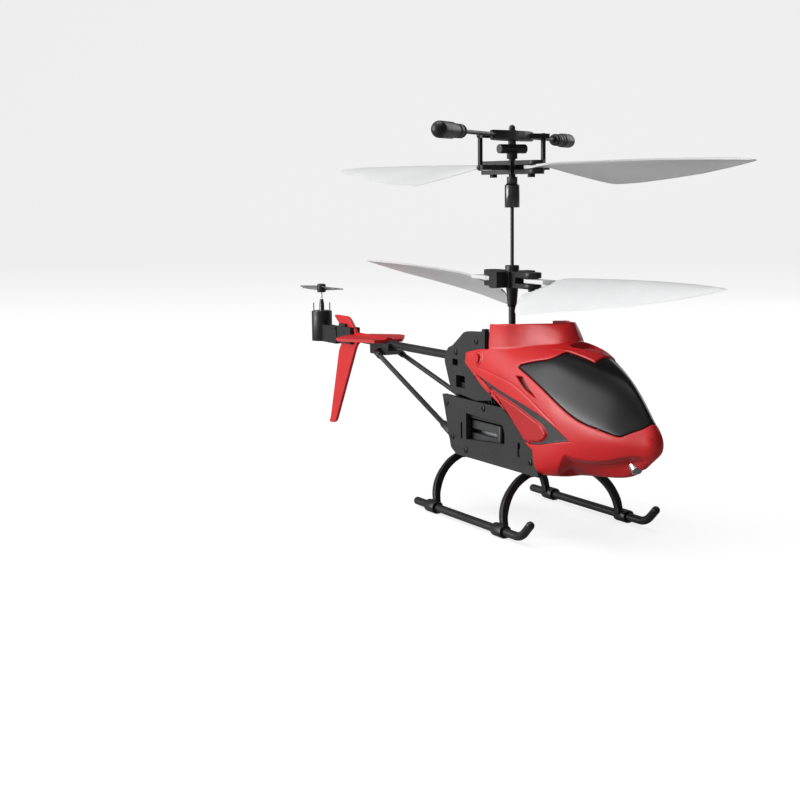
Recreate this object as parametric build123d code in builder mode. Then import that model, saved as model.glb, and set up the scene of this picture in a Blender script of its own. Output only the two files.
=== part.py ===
from build123d import *
from math import acos, cos, degrees, pi, radians, sin, sqrt, tan
import os

# Small coaxial toy helicopter. Millimetres, +Z up, nose towards -Y, skids resting on z = 0.
# Distances along Y in this file are taken from the mast and shifted by MAST_Y.

# ---- driving dimensions ----
ROTOR_R = 95.0            # both main rotors
MAST_Y = -24.4            # mast axis from the middle of the overall length
UPPER_Z = 98.9            # feathering axis of the upper blades
LOWER_Z = 67.4            # middle of the lower blade roots
FLYBAR_Z = 107.7          # flybar pivot
UPPER_TURN = -85.0        # directions of the parts at rest, degrees from +X
LOWER_TURN = -90.0
FLYBAR_TURN = 42.0
LINK_R = 11.0             # pushrods from the mast
INNER_R = 0.5             # inner shaft
OUTER_R = 1.0             # outer shaft
RUN = 0.05                # radial clearance of a running fit
PLATE_X, PLATE_T = 10.2, 1.5      # side plates: inner face and thickness
MODULE, GEAR_TEETH, PINION_TEETH = 0.34, 54, 9
UPPER_GEAR_Z, LOWER_GEAR_Z, GEAR_T = 32.7, 29.5, 2.3
MOTOR_R, MOTOR_Z, MOTOR_H = 3.5, 37.4, 11.4
BOOM_Z, BOOM_R, BOOM_END = 42.4, 1.3, 116.0
TAIL_Y = 131.0            # tail motor axis
SKID_X, SKID_Z, SKID_R = 20.1, 1.75, 1.15
ARCH_LEAN = 13.0          # the skid arches lean back, degrees
SKIN = 0.9                # canopy wall

CENTRES = MODULE * (GEAR_TEETH + PINION_TEETH) / 2

os.makedirs("parts", exist_ok=True)


def level(z, turn=0.0, x=0.0, y=0.0):
    """Horizontal plane at height z, its x axis turned by `turn` degrees about the mast."""
    a = radians(turn)
    return Plane(origin=(x, MAST_Y + y, z), x_dir=(cos(a), sin(a), 0), z_dir=(0, 0, 1))


def side(x):
    """Upright plane facing +X: sketch coordinates are (y from the mast, z)."""
    return Plane(origin=(x, MAST_Y, 0), x_dir=(0, 1, 0), z_dir=(1, 0, 0))


def across(y, turn=-90.0):
    """Upright plane across a line leaving the mast in direction `turn`: coordinates are (side, z)."""
    a = radians(turn)
    return Plane(origin=(y * cos(a), MAST_Y + y * sin(a), 0), x_dir=(-sin(a), cos(a), 0),
                 z_dir=(cos(a), sin(a), 0))


def along(a, b):
    """Plane at point a facing point b, both measured from the mast, and the distance between them."""
    p, q = Vector(a[0], MAST_Y + a[1], a[2]), Vector(b[0], MAST_Y + b[1], b[2])
    return Plane(origin=p, z_dir=q - p), (q - p).length


def gear_points(teeth, addendum, dedendum, thin, turn):
    """Outline of an involute spur gear, one tooth centred on `turn` degrees."""
    pitch_r = MODULE * teeth / 2
    base_r = pitch_r * cos(radians(20))
    root_r, tip_r = pitch_r - dedendum * MODULE, pitch_r + addendum * MODULE

    def half(r):
        press = acos(min(1.0, base_r / r))
        at_pitch = radians(20)
        return ((pi * MODULE / 2 - thin) / (2 * pitch_r) + tan(at_pitch) - at_pitch
                - tan(press) + press)

    radii = [root_r, max(base_r, root_r + 0.02), pitch_r, tip_r]
    points = []
    for k in range(teeth):
        mid = radians(turn) + 2 * pi * k / teeth
        flank = [(r, half(max(r, base_r))) for r in radii]
        points += [(r * cos(mid - h), r * sin(mid - h)) for r, h in flank]
        points += [(r * cos(mid + h), r * sin(mid + h)) for r, h in reversed(flank)]
    return points


def lens(lead, trail, thick, camber):
    """Six-point blade section between two edges given as (side, z), drawn from -side to +side."""
    share = 0.4
    if lead[0] > trail[0]:
        lead, trail, share = trail, lead, 0.6
    dx, dz = trail[0] - lead[0], trail[1] - lead[1]
    n = sqrt(dx * dx + dz * dz)
    up = (-dz / n, dx / n)
    mid = (lead[0] + share * dx + up[0] * camber, lead[1] + share * dz + up[1] * camber)
    rows = [(lead, 0.5 * thick), (mid, thick), (trail, 0.5 * thick)]
    top = [(p[0] + up[0] * t / 2, p[1] + up[1] * t / 2) for p, t in rows]
    low = [(p[0] - up[0] * t / 2, p[1] - up[1] * t / 2) for p, t in reversed(rows)]
    return top + low


def web(turn, rows):
    """Solid through blade sections (distance from the mast, outline), faced with flat triangles."""
    rings = [[across(r, turn).from_local_coords((x, z)) for x, z in outline] for r, outline in rows]
    faces = [Face(Wire.make_polygon(rings[0])), Face(Wire.make_polygon(rings[-1]))]
    count = len(rings[0])
    for low, high in zip(rings, rings[1:]):
        for k in range(count):
            n = (k + 1) % count
            faces.append(Face(Wire.make_polygon([low[k], low[n], high[n]])))
            faces.append(Face(Wire.make_polygon([low[k], high[n], high[k]])))
    return Solid(Shell(faces))


def save(part, name):
    part.label = name
    export_step(part, "parts/" + name + ".step")


# ---- airframe: moulded gearbox frame between the side plates ----
DECKS = [(16.2, 1.4, -30.0, 15.0), (27.6, 1.3, -15.0, 15.0), (35.6, 1.7, -15.0, 15.0)]
with BuildPart() as gearbox_frame:
    for z, thick, y0, y1 in DECKS:
        with BuildSketch(level(z)):
            with Locations((0, (y0 + y1) / 2)):
                RectangleRounded(2 * PLATE_X, y1 - y0, 0.8)
        extrude(amount=thick)
    for y, top in ((-14.2, 37.3), (14.2, 47.2)):
        with BuildSketch(level(16.2)):
            with Locations((0, y)):
                Rectangle(2 * PLATE_X, 1.6)
        extrude(amount=top - 16.2)
    with BuildSketch(level(36.0)):
        with Locations((-9.5, -0.6), (9.5, -0.6)):
            Rectangle(1.4, 7.6)
        with Locations((0, 14.6)):
            Rectangle(6.4, 1.2)
    extrude(amount=14.9)
    with BuildSketch(level(49.4)):
        with Locations((0, -0.6)):
            Rectangle(2 * PLATE_X, 7.6)
    extrude(amount=1.9)
    with BuildSketch(across(14.2, 90)):
        with Locations((0, BOOM_Z)):
            Circle(2.6)
    extrude(amount=5.3)
    with BuildSketch(level(16.2)):
        with Locations((0, -28.0), (0, -19.0)):
            Circle(1.4)
    extrude(amount=10.3)
    with BuildSketch(across(13.0, 90)):
        with Locations((0, BOOM_Z)):
            Circle(BOOM_R)
    extrude(amount=8, mode=Mode.SUBTRACT)
    # bearing seats, pinion and shaft holes, motor seats
    with BuildSketch(level(26.0)):
        Circle(1.6)
    extrude(amount=4, mode=Mode.SUBTRACT)
    with BuildSketch(level(35.0)):
        Circle(2.0)
        with Locations((0, -CENTRES), (0, CENTRES)):
            Circle(2.0)
    extrude(amount=19, mode=Mode.SUBTRACT)
    with BuildSketch(level(MOTOR_Z)):
        with Locations((0, -CENTRES), (0, CENTRES)):
            Circle(MOTOR_R + 0.05)
    extrude(amount=MOTOR_H + 3, mode=Mode.SUBTRACT)
save(gearbox_frame.part, "gearbox_frame")

with BuildPart() as bearings:
    for z, height, inner, outer in ((27.6, 1.3, INNER_R + 0.03, 1.6), (35.6, 1.7, OUTER_R + 0.03, 2.0),
                                    (49.4, 1.9, OUTER_R + 0.03, 2.0)):
        with BuildSketch(level(z)):
            Circle(outer)
            Circle(inner, mode=Mode.SUBTRACT)
        extrude(amount=height)
save(bearings.part, "shaft_bearings")

# ---- side plates ----
UPPER_PLATE = [(18.9, 44.9), (16.7, 47.2), (14.2, 48.0), (7.5, 52.3), (5.7, 52.7), (-2.4, 53.1), (-3.0, 54.0),
               (-4.4, 54.0), (-4.4, 46.0), (-8.0, 44.0), (-8.0, 34.3), (0.3, 33.3), (14.4, 34.5), (16.2, 37.0),
               (18.9, 42.8)]
LOWER_PLATE = [(20.4, 33.1), (17.8, 25.2), (15.4, 17.9), (12.3, 16.2), (-32.4, 16.2), (-31.9, 21.8),
               (-28.0, 25.0), (-14.0, 32.9)]
UPPER_SCREWS = [(12.2, 46.2), (0.4, 50.3)]
LOWER_SCREWS = [(17.6, 30.8), (-3.6, 31.6), (14.2, 21.3), (6.4, 18.2), (-28.6, 19.8)]
for word, hand in (("right", -1), ("left", 1)):
    start = hand * PLATE_X
    with BuildPart() as upper_plate:
        with BuildSketch(side(start)):
            Polygon(*UPPER_PLATE, align=None)
            with Locations((12.6, 43.2)):
                RectangleRounded(3.2, 1.9, 0.3, mode=Mode.SUBTRACT)
            with Locations((9.5, 37.8)):
                RectangleRounded(5.2, 3.6, 0.4, mode=Mode.SUBTRACT)
            with Locations(*UPPER_SCREWS):
                Circle(0.6, mode=Mode.SUBTRACT)
        extrude(amount=hand * PLATE_T)
    save(upper_plate.part, "upper_plate_" + word)
    with BuildPart() as lower_plate:
        with BuildSketch(side(start)):
            Polygon(*LOWER_PLATE, align=None)
            Polygon((6.3, 21.4), (6.3, 29.0), (-13.6, 28.6), (-15.1, 26.0), (-15.1, 22.8), align=None,
                    mode=Mode.SUBTRACT)
            with Locations((9.0, 23.6)):
                SlotOverall(5.0, 0.9, rotation=90, mode=Mode.SUBTRACT)
            with Locations(*LOWER_SCREWS):
                Circle(0.6, mode=Mode.SUBTRACT)
            if hand < 0:
                with Locations((-22.6, 22.4)):
                    SlotOverall(4.2, 1.3, rotation=90, mode=Mode.SUBTRACT)
        extrude(amount=hand * PLATE_T)
    save(lower_plate.part, "lower_plate_" + word)

with BuildPart() as plate_screws:
    for hand in (-1, 1):
        with BuildSketch(side(hand * PLATE_X)):
            with Locations(*UPPER_SCREWS, *LOWER_SCREWS):
                Circle(0.55)
        extrude(amount=hand * PLATE_T)
        with BuildSketch(side(hand * (PLATE_X + PLATE_T))):
            with Locations(*UPPER_SCREWS, *LOWER_SCREWS):
                Circle(0.95)
        extrude(amount=hand * 0.35)
save(plate_screws.part, "plate_screws")

# ---- battery, electronics and switch ----
with BuildPart() as battery_tray:
    with BuildSketch(level(17.6)):
        with Locations((0, 0.65)):
            RectangleRounded(19.2, 19.9, 0.8)
    extrude(amount=9.3)
    with BuildSketch(level(18.6)):
        with Locations((0, 0.65)):
            Rectangle(17.2, 18.1)
    extrude(amount=9, mode=Mode.SUBTRACT)
    with BuildSketch(side(-10)):
        with Locations((0.1, 23.9)):
            SlotOverall(15.4, 1.3)
    extrude(amount=20, mode=Mode.SUBTRACT)
save(battery_tray.part, "battery_tray")

with BuildPart() as battery:
    with BuildSketch(level(18.6)):
        with Locations((0, 0.65)):
            RectangleRounded(14.0, 17.6, 1.5)
    extrude(amount=6.0)
save(battery.part, "battery")

with BuildPart() as circuit_board:
    with BuildSketch(level(26.5)):
        with Locations((0, -29.0)):
            Rectangle(15.0, 25.0)
    extrude(amount=0.8)
    with BuildSketch(level(27.3)):
        with Locations((-3.0, -26.0)):
            Rectangle(6.0, 6.0)
        with Locations((4.0, -34.0), (-3.5, -37.0)):
            Rectangle(3.0, 2.0)
    extrude(amount=1.2)
save(circuit_board.part, "circuit_board")

with BuildPart() as switch_body:
    with BuildSketch(level(19.6)):
        with Locations((-8.7, -22.6)):
            Rectangle(3.0, 3.4)
    extrude(amount=5.6)
    with BuildSketch(side(-10.3)):
        with Locations((-22.6, 22.4)):
            Rectangle(1.1, 4.4)
    extrude(amount=1.8, mode=Mode.SUBTRACT)
save(switch_body.part, "power_switch_body")

with BuildPart() as switch_knob:
    with BuildSketch(side(-8.7)):
        with Locations((-22.6, 21.6)):
            RectangleRounded(0.9, 1.8, 0.2)
    extrude(amount=-2.7)
save(switch_knob.part, "power_switch_knob")

# ---- motors and gears ----
for word, sign in (("front", -1), ("rear", 1)):
    at = sign * CENTRES
    with BuildPart() as motor:
        with BuildSketch(level(MOTOR_Z)):
            with Locations((0, at)):
                Circle(MOTOR_R)
        extrude(amount=MOTOR_H)
        fillet(motor.edges().filter_by(GeomType.CIRCLE), 0.4)
        with BuildSketch(level(MOTOR_Z + MOTOR_H)):
            with Locations((0, at)):
                Circle(1.6)
        extrude(amount=0.5)
        with BuildSketch(level(MOTOR_Z - 0.6)):
            with Locations((0, at)):
                Circle(1.3)
        extrude(amount=1.0)
        with BuildSketch(level(MOTOR_Z - 1)):
            with Locations((0, at)):
                Circle(0.45)
        extrude(amount=8, mode=Mode.SUBTRACT)
    save(motor.part, word + "_motor")

    pinion_z = UPPER_GEAR_Z if sign < 0 else LOWER_GEAR_Z
    with BuildPart() as pinion:
        with BuildSketch(level(pinion_z + 0.1, 0, 0, at)):
            Polygon(*gear_points(PINION_TEETH, 0.85, 0.8, 0.14, -90 * sign), align=None)
            Circle(0.4, mode=Mode.SUBTRACT)
        extrude(amount=GEAR_T - 0.2)
    save(pinion.part, word + "_pinion")
    with BuildPart() as motor_shaft:
        with BuildSketch(level(pinion_z + 0.1)):
            with Locations((0, at)):
                Circle(0.4)
        extrude(amount=MOTOR_Z + 5 - pinion_z)
    save(motor_shaft.part, word + "_motor_shaft")

for word, z, bore in (("outer", UPPER_GEAR_Z, OUTER_R), ("inner", LOWER_GEAR_Z, INNER_R)):
    with BuildPart() as gear:
        with BuildSketch(level(z)):
            Polygon(*gear_points(GEAR_TEETH, 0.55, 1.15, 0.14, 0), align=None)
        extrude(amount=GEAR_T)
        with BuildSketch(level(z + GEAR_T / 2)):
            Circle(7.4)
            Circle(2.6, mode=Mode.SUBTRACT)
        extrude(amount=5, mode=Mode.SUBTRACT)
        with BuildSketch(level(z - 1)):
            with PolarLocations(5.0, 5):
                Circle(1.5)
            Circle(bore)
        extrude(amount=9, mode=Mode.SUBTRACT)
    save(gear.part, word + "_shaft_gear")

with BuildPart() as inner_shaft:
    with BuildSketch(level(27.2)):
        Circle(INNER_R)
    extrude(amount=76.8)
    with BuildSketch(across(-3, UPPER_TURN)):
        with Locations((0, UPPER_Z)):
            Circle(0.35)
    extrude(amount=6, mode=Mode.SUBTRACT)
save(inner_shaft.part, "inner_shaft")

with BuildPart() as outer_shaft:
    with BuildSketch(level(32.3)):
        Circle(OUTER_R)
        Circle(INNER_R + RUN, mode=Mode.SUBTRACT)
    extrude(amount=37.9)
save(outer_shaft.part, "outer_shaft")

# ---- lower rotor ----
LOWER_PIVOT, LOWER_FORK = 10.4, 10.9
with BuildPart() as lower_hub:
    with BuildSketch(level(65.2, LOWER_TURN)):
        Rectangle(7.0, 6.4)
        Rectangle(4.2, 13.0)
        Rectangle(2 * LOWER_FORK, 5.0)
        with Locations((LOWER_FORK, 0), (-LOWER_FORK, 0)):
            Circle(2.5)
    extrude(amount=4.6)
    with BuildSketch(level(66.6, LOWER_TURN)):
        with Locations((LOWER_PIVOT, 0), (-LOWER_PIVOT, 0)):
            Rectangle(10.0, 6.0)
    extrude(amount=1.6, mode=Mode.SUBTRACT)
    with BuildSketch(level(69.8)):
        Circle(2.0)
    extrude(amount=1.6)
    with BuildSketch(level(65.2)):
        Circle(1.75)
    with BuildSketch(level(59.6)):
        Circle(1.3)
    loft()
    with BuildSketch(level(59.0)):
        Circle(OUTER_R)
    extrude(amount=11.2, mode=Mode.SUBTRACT)
    with BuildSketch(level(70.2)):
        Circle(INNER_R + 0.1)
    extrude(amount=2, mode=Mode.SUBTRACT)
    with BuildSketch(level(65, LOWER_TURN)):
        with Locations((LOWER_PIVOT, 0), (-LOWER_PIVOT, 0)):
            Circle(0.5)
    extrude(amount=6, mode=Mode.SUBTRACT)
save(lower_hub.part, "lower_hub")

with BuildPart() as lower_screws:
    with BuildSketch(level(65.2, LOWER_TURN)):
        with Locations((LOWER_PIVOT, 0), (-LOWER_PIVOT, 0)):
            Circle(0.5)
    extrude(amount=4.6)
    with BuildSketch(level(64.4, LOWER_TURN)):
        with Locations((LOWER_PIVOT, 0), (-LOWER_PIVOT, 0)):
            Circle(1.0)
    extrude(amount=0.8)
save(lower_screws.part, "lower_hub_screws")

# blade stations: share of the way to the tip, leading edge (side, z), trailing edge (side, z)
LOWER_BLADE = [(0.182, (3.0, 68.3), (-9.9, 58.4)), (0.37, (3.4, 69.0), (-10.8, 60.6)),
               (0.55, (3.4, 69.5), (-11.3, 62.2)), (0.70, (3.2, 69.7), (-9.9, 63.8)),
               (0.84, (2.7, 69.7), (-6.0, 65.9)), (0.94, (1.8, 69.6), (-2.9, 67.8)),
               (1.0, (0.6, 69.5), (-0.7, 69.1))]
# the skirt inboard of them, clear of the fork: the same, but its distance from the mast is in mm
LOWER_SKIRT = [(11.0, (-2.9, 63.8), (-4.2, 62.8)), (15.5, (-2.9, 63.8), (-9.4, 58.8)),
               (18.4, (-2.9, 63.8), (-9.9, 58.4))]
for word, turn in (("front", LOWER_TURN), ("rear", LOWER_TURN + 180)):
    wing = web(turn, [(share * ROTOR_R, lens(lead, trail, 0.8, 0.6 if share < 0.9 else 0.2))
                      for share, lead, trail in LOWER_BLADE])
    skirt = web(turn, [(reach, lens(lead, trail, 0.8, 0.1)) for reach, lead, trail in LOWER_SKIRT])
    with BuildPart() as blade:
        add(wing)
        add(skirt)
        with BuildSketch(level(LOWER_Z - 0.6, turn)):
            with Locations((LOWER_PIVOT, 0)):
                Circle(2.2)
            with Locations((LOWER_PIVOT + 4.1, 0)):
                Rectangle(8.2, 4.4)
        extrude(amount=1.2)
        with BuildSketch(level(60, turn)):
            with Locations((LOWER_PIVOT, 0)):
                Circle(0.55)
        extrude(amount=12, mode=Mode.SUBTRACT)
    save(blade.part, "lower_blade_" + word)

# ---- upper rotor head ----
GRIP_PIVOT, GRIP_FORK, GRIP_HALF = 9.0, 11.1, 1.9
with BuildPart() as shaft_collar:
    with BuildSketch(level(87.7)):
        Circle(2.1)
        Circle(INNER_R, mode=Mode.SUBTRACT)
    extrude(amount=6.8)
    chamfer(shaft_collar.faces().sort_by(Axis.Z)[-1].edges().sort_by(SortBy.RADIUS)[-1], 0.6)
save(shaft_collar.part, "shaft_collar")

with BuildPart() as head_post:
    for z, height, radius in ((94.5, 1.8, 1.5), (96.3, 5.0, 0.95), (101.3, 1.8, 1.5), (105.2, 4.2, 1.1)):
        with BuildSketch(level(z)):
            Circle(radius)
        extrude(amount=height)
    plane, length = along((-4.5 * cos(radians(5)), -4.5 * sin(radians(5)), 104.1),
                          (4.5 * cos(radians(5)), 4.5 * sin(radians(5)), 104.1))
    with BuildSketch(plane):
        Circle(1.3)
    extrude(amount=length)
    with Locations((0, MAST_Y, 109.9)):
        Sphere(0.9)
    with BuildSketch(level(94)):
        Circle(INNER_R)
    extrude(amount=10, mode=Mode.SUBTRACT)
    for z, radius in ((UPPER_Z, 0.35), (FLYBAR_Z, 0.4)):
        with BuildSketch(across(-3, UPPER_TURN)):
            with Locations((0, z)):
                Circle(radius)
        extrude(amount=6, mode=Mode.SUBTRACT)
save(head_post.part, "head_post")

for word, z, radius, reach in (("feathering_pin", UPPER_Z, 0.35, 3.0), ("flybar_pin", FLYBAR_Z, 0.4, 2.9)):
    with BuildPart() as pin:
        with BuildSketch(across(-reach, UPPER_TURN)):
            with Locations((0, z)):
                Circle(radius)
        extrude(amount=2 * reach)
    save(pin.part, word)


def side_arms(z):
    """Arms beside the blade line at height z, with the stubs that the pushrods turn on."""
    with BuildPart() as arms:
        for hand in (-1, 1):
            with BuildSketch(level(z - 0.7, UPPER_TURN)):
                with Locations((1.45, hand * 6.9)):
                    Rectangle(1.3, 9.6)
            extrude(amount=1.4)
            for start, length, radius in ((0.85, -1.7, 0.3), (-0.75, -0.3, 0.55)):
                with BuildSketch(across(start, UPPER_TURN)):
                    with Locations((hand * LINK_R, z)):
                        Circle(radius)
                extrude(amount=length)
    return arms.part


grip_arms, ring_arms = side_arms(UPPER_Z), side_arms(FLYBAR_Z)


with BuildPart() as grips:
    with BuildSketch(level(UPPER_Z - GRIP_HALF, UPPER_TURN)):
        Rectangle(7.0, 6.2)
        Rectangle(2 * GRIP_FORK, 4.6)
        with Locations((GRIP_FORK, 0), (-GRIP_FORK, 0)):
            Circle(2.3)
    extrude(amount=2 * GRIP_HALF)
    with BuildSketch(level(UPPER_Z - 0.65, UPPER_TURN)):
        with Locations((8.9, 0), (-8.9, 0)):
            Rectangle(10.0, 5.0)
    extrude(amount=1.3, mode=Mode.SUBTRACT)
    add(grip_arms)
    with BuildSketch(level(UPPER_Z - 3, UPPER_TURN)):
        Rectangle(2.1, 3.2)
    extrude(amount=6, mode=Mode.SUBTRACT)
    with BuildSketch(across(-3.05, UPPER_TURN)):
        with Locations((0, UPPER_Z)):
            Circle(0.35 + RUN)
    extrude(amount=6.1, mode=Mode.SUBTRACT)
    with BuildSketch(level(UPPER_Z - 3, UPPER_TURN)):
        with Locations((GRIP_PIVOT, 0), (-GRIP_PIVOT, 0)):
            Circle(0.5)
    extrude(amount=6, mode=Mode.SUBTRACT)
save(grips.part, "blade_grips")

with BuildPart() as grip_screws:
    with BuildSketch(level(UPPER_Z - GRIP_HALF, UPPER_TURN)):
        with Locations((GRIP_PIVOT, 0), (-GRIP_PIVOT, 0)):
            Circle(0.5)
    extrude(amount=2 * GRIP_HALF)
    with BuildSketch(level(UPPER_Z - GRIP_HALF - 0.9, UPPER_TURN)):
        with Locations((GRIP_PIVOT, 0), (-GRIP_PIVOT, 0)):
            Circle(1.05)
    extrude(amount=0.9)
save(grip_screws.part, "grip_screws")

UPPER_BLADE = [(0.17, (-2.6, 99.3), (4.4, 97.7)), (0.24, (-3.2, 99.8), (17.8, 93.8)),
               (0.37, (-3.6, 99.9), (16.8, 94.2)), (0.53, (-3.6, 100.0), (14.4, 95.2)),
               (0.69, (-3.4, 100.0), (11.2, 96.3)), (0.84, (-2.8, 99.8), (7.2, 97.7)),
               (0.95, (-1.9, 99.5), (3.2, 98.7)), (1.0, (-0.7, 99.3), (0.7, 99.1))]
for word, turn in (("front", UPPER_TURN), ("rear", UPPER_TURN + 180)):
    with BuildPart() as blade:
        with BuildSketch(level(UPPER_Z - 0.5, turn)):
            with Locations((GRIP_PIVOT, 0)):
                Circle(2.1)
            with Locations((GRIP_PIVOT + 2.7, 0)):
                Rectangle(5.4, 4.2)
        extrude(amount=1.0)
        with BuildSketch(across(14.1, turn)):
            Polygon(*lens((-2.1, UPPER_Z), (2.1, UPPER_Z), 0.9, 0.0), align=None)
        for share, lead, trail in UPPER_BLADE:
            with BuildSketch(across(share * ROTOR_R, turn)):
                Polygon(*lens(lead, trail, 0.8, 0.6 if 0.2 < share < 0.9 else 0.1), align=None)
        loft(ruled=True)
        with BuildSketch(level(90, turn)):
            with Locations((GRIP_PIVOT, 0)):
                Circle(0.55)
        extrude(amount=15, mode=Mode.SUBTRACT)
    save(blade.part, "upper_blade_" + word)

# ---- flybar and pushrods ----
RING_HALF, WEIGHT_IN, WEIGHT_MID, WEIGHT_OUT = 18.5, 43.5, 53.0, 64.0
with BuildPart() as flybar_ring:
    with BuildSketch(level(FLYBAR_Z - 1.2, FLYBAR_TURN)):
        with BuildLine():
            ThreePointArc((-RING_HALF, 0), (0, 4.6), (RING_HALF, 0))
            ThreePointArc((RING_HALF, 0), (0, -4.6), (-RING_HALF, 0))
        make_face()
    extrude(amount=2.4)
    add(ring_arms)
    # room for the post, whose pin the ring rocks on
    with BuildSketch(level(FLYBAR_Z - 2, UPPER_TURN)):
        Rectangle(2.4, 3.6)
    extrude(amount=4, mode=Mode.SUBTRACT)
    with BuildSketch(across(-2.95, UPPER_TURN)):
        with Locations((0, FLYBAR_Z)):
            Circle(0.4 + RUN)
    extrude(amount=5.9, mode=Mode.SUBTRACT)
    with BuildSketch(across(-20, FLYBAR_TURN)):
        with Locations((0, FLYBAR_Z)):
            Circle(0.55)
    extrude(amount=6, mode=Mode.SUBTRACT)
    with BuildSketch(across(14, FLYBAR_TURN)):
        with Locations((0, FLYBAR_Z)):
            Circle(0.55)
    extrude(amount=6, mode=Mode.SUBTRACT)
save(flybar_ring.part, "flybar_ring")

with BuildPart() as flybar_rods:
    for turn in (FLYBAR_TURN, FLYBAR_TURN + 180):
        with BuildSketch(across(14, turn)):
            with Locations((0, FLYBAR_Z)):
                Circle(0.55)
        extrude(amount=WEIGHT_MID - 14)
save(flybar_rods.part, "flybar_rods")

with BuildPart() as flybar_weights:
    for turn in (FLYBAR_TURN, FLYBAR_TURN + 180):
        a = radians(turn)
        spine = Plane(origin=(0, MAST_Y, FLYBAR_Z), x_dir=(cos(a), sin(a), 0), z_dir=(sin(a), -cos(a), 0))
        with BuildSketch(spine):
            with BuildLine():
                Polyline((WEIGHT_IN, 0.55), (WEIGHT_IN, 1.3), (WEIGHT_IN + 1.6, 1.85), (WEIGHT_MID, 1.85),
                         (WEIGHT_MID, 2.15), (WEIGHT_OUT - 2.15, 2.15))
                RadiusArc((WEIGHT_OUT - 2.15, 2.15), (WEIGHT_OUT, 0), 2.15)
                Polyline((WEIGHT_OUT, 0), (WEIGHT_MID, 0), (WEIGHT_MID, 0.55), (WEIGHT_IN, 0.55))
            make_face()
        revolve(axis=Axis((0, MAST_Y, FLYBAR_Z), (cos(a), sin(a), 0)))
save(flybar_weights.part, "flybar_weights")

for word, hand in (("right", -1), ("left", 1)):
    with BuildPart() as link:
        with BuildSketch(across(-0.5, UPPER_TURN)):
            with Locations((hand * LINK_R, (UPPER_Z + FLYBAR_Z) / 2)):
                Rectangle(1.0, FLYBAR_Z - UPPER_Z)
            with Locations((hand * LINK_R, UPPER_Z), (hand * LINK_R, FLYBAR_Z)):
                Circle(0.9)
            with Locations((hand * LINK_R, UPPER_Z), (hand * LINK_R, FLYBAR_Z)):
                Circle(0.3 + RUN, mode=Mode.SUBTRACT)
        extrude(amount=1.0)
    save(link.part, "pushrod_" + word)

# ---- tail ----
with BuildPart() as tail_boom:
    with BuildSketch(across(14.6, 90)):
        with Locations((0, BOOM_Z)):
            Circle(BOOM_R)
            Circle(0.7, mode=Mode.SUBTRACT)
    extrude(amount=BOOM_END - 14.6)
save(tail_boom.part, "tail_boom")

with BuildPart() as strut_clamp:
    with BuildSketch(side(-2.6)):
        Polygon((73.5, 42.9), (73.5, 40.6), (76.0, 39.0), (87.0, 38.8), (87.0, 42.9), align=None)
    extrude(amount=5.2)
    fillet(strut_clamp.edges().filter_by(Axis.X), 0.3)
    with BuildSketch(across(70, 90)):
        with Locations((0, BOOM_Z)):
            Circle(BOOM_R)
    extrude(amount=20, mode=Mode.SUBTRACT)
save(strut_clamp.part, "strut_clamp")

for word, hand in (("right", -1), ("left", 1)):
    plane, length = along((hand * 3.9, 79.5, 39.9), (hand * 9.1, 21.5, 22.2))
    foot, foot_length = along((hand * 8.75, 25.0, 23.3), (hand * 9.3, 19.3, 21.5))
    with BuildPart() as strut:
        with BuildSketch(plane):
            Circle(0.8)
        extrude(amount=length)
        with BuildSketch(foot):
            Circle(1.15)
        extrude(amount=foot_length)
        with BuildSketch(along((hand * 3.9, 79.5, 39.9), (hand * 4.22, 76.0, 38.83))[0]):
            Circle(1.05)
        extrude(amount=3.6)
        with BuildSketch(side(hand * 8.6)):
            with Locations((18.0, 21.2)):
                Circle(1.5)
        extrude(amount=hand * 1.6)
        with BuildSketch(side(hand * 2.6)):
            with Locations((79.6, 40.2)):
                Circle(1.0)
        extrude(amount=hand * 1.2)
    save(strut.part, "boom_strut_" + word)

STAB = [(0.0, 77.6), (5.2, 78.4), (12.2, 90.2), (11.8, 93.8), (4.6, 100.4), (0.0, 100.8)]
with BuildPart() as stabiliser:
    with BuildSketch(level(42.9)):
        Polygon(*STAB, *[(-x, y) for x, y in reversed(STAB) if x > 0], align=None)
    extrude(amount=1.0)
    with BuildSketch(across(78, 90)):
        with Locations((0, BOOM_Z)):
            Circle(BOOM_R + 0.8)
    extrude(amount=22.5)
    with BuildSketch(level(38)):
        with Locations((0, 90)):
            Rectangle(8, 40)
    extrude(amount=4.9, mode=Mode.SUBTRACT)
    with BuildSketch(across(70, 90)):
        with Locations((0, BOOM_Z)):
            Circle(BOOM_R)
    extrude(amount=40, mode=Mode.SUBTRACT)
save(stabiliser.part, "stabiliser")

with BuildPart() as fin:
    with BuildSketch(side(-0.6)):
        Polygon((118.4, 11.4), (121.5, 10.4), (125.6, 10.8), (125.0, 12.6), (116.6, 37.6), (113.5, 40.2), (113.5, 44.6),
                (116.0, 46.8), (119.4, 48.8), (118.8, 49.6), (108.6, 49.6), (106.4, 48.6), (101.2, 44.0),
                (100.6, 40.6), (102.4, 39.6), align=None)
    extrude(amount=1.2)
    with BuildSketch(side(-1.9)):
        Polygon((102.6, 44.6), (102.6, 40.1), (112.6, 40.1), (112.6, 44.6), align=None)
    extrude(amount=3.8)
    with BuildSketch(across(95, 90)):
        with Locations((0, BOOM_Z)):
            Circle(BOOM_R)
    extrude(amount=30, mode=Mode.SUBTRACT)
save(fin.part, "fin")

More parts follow.
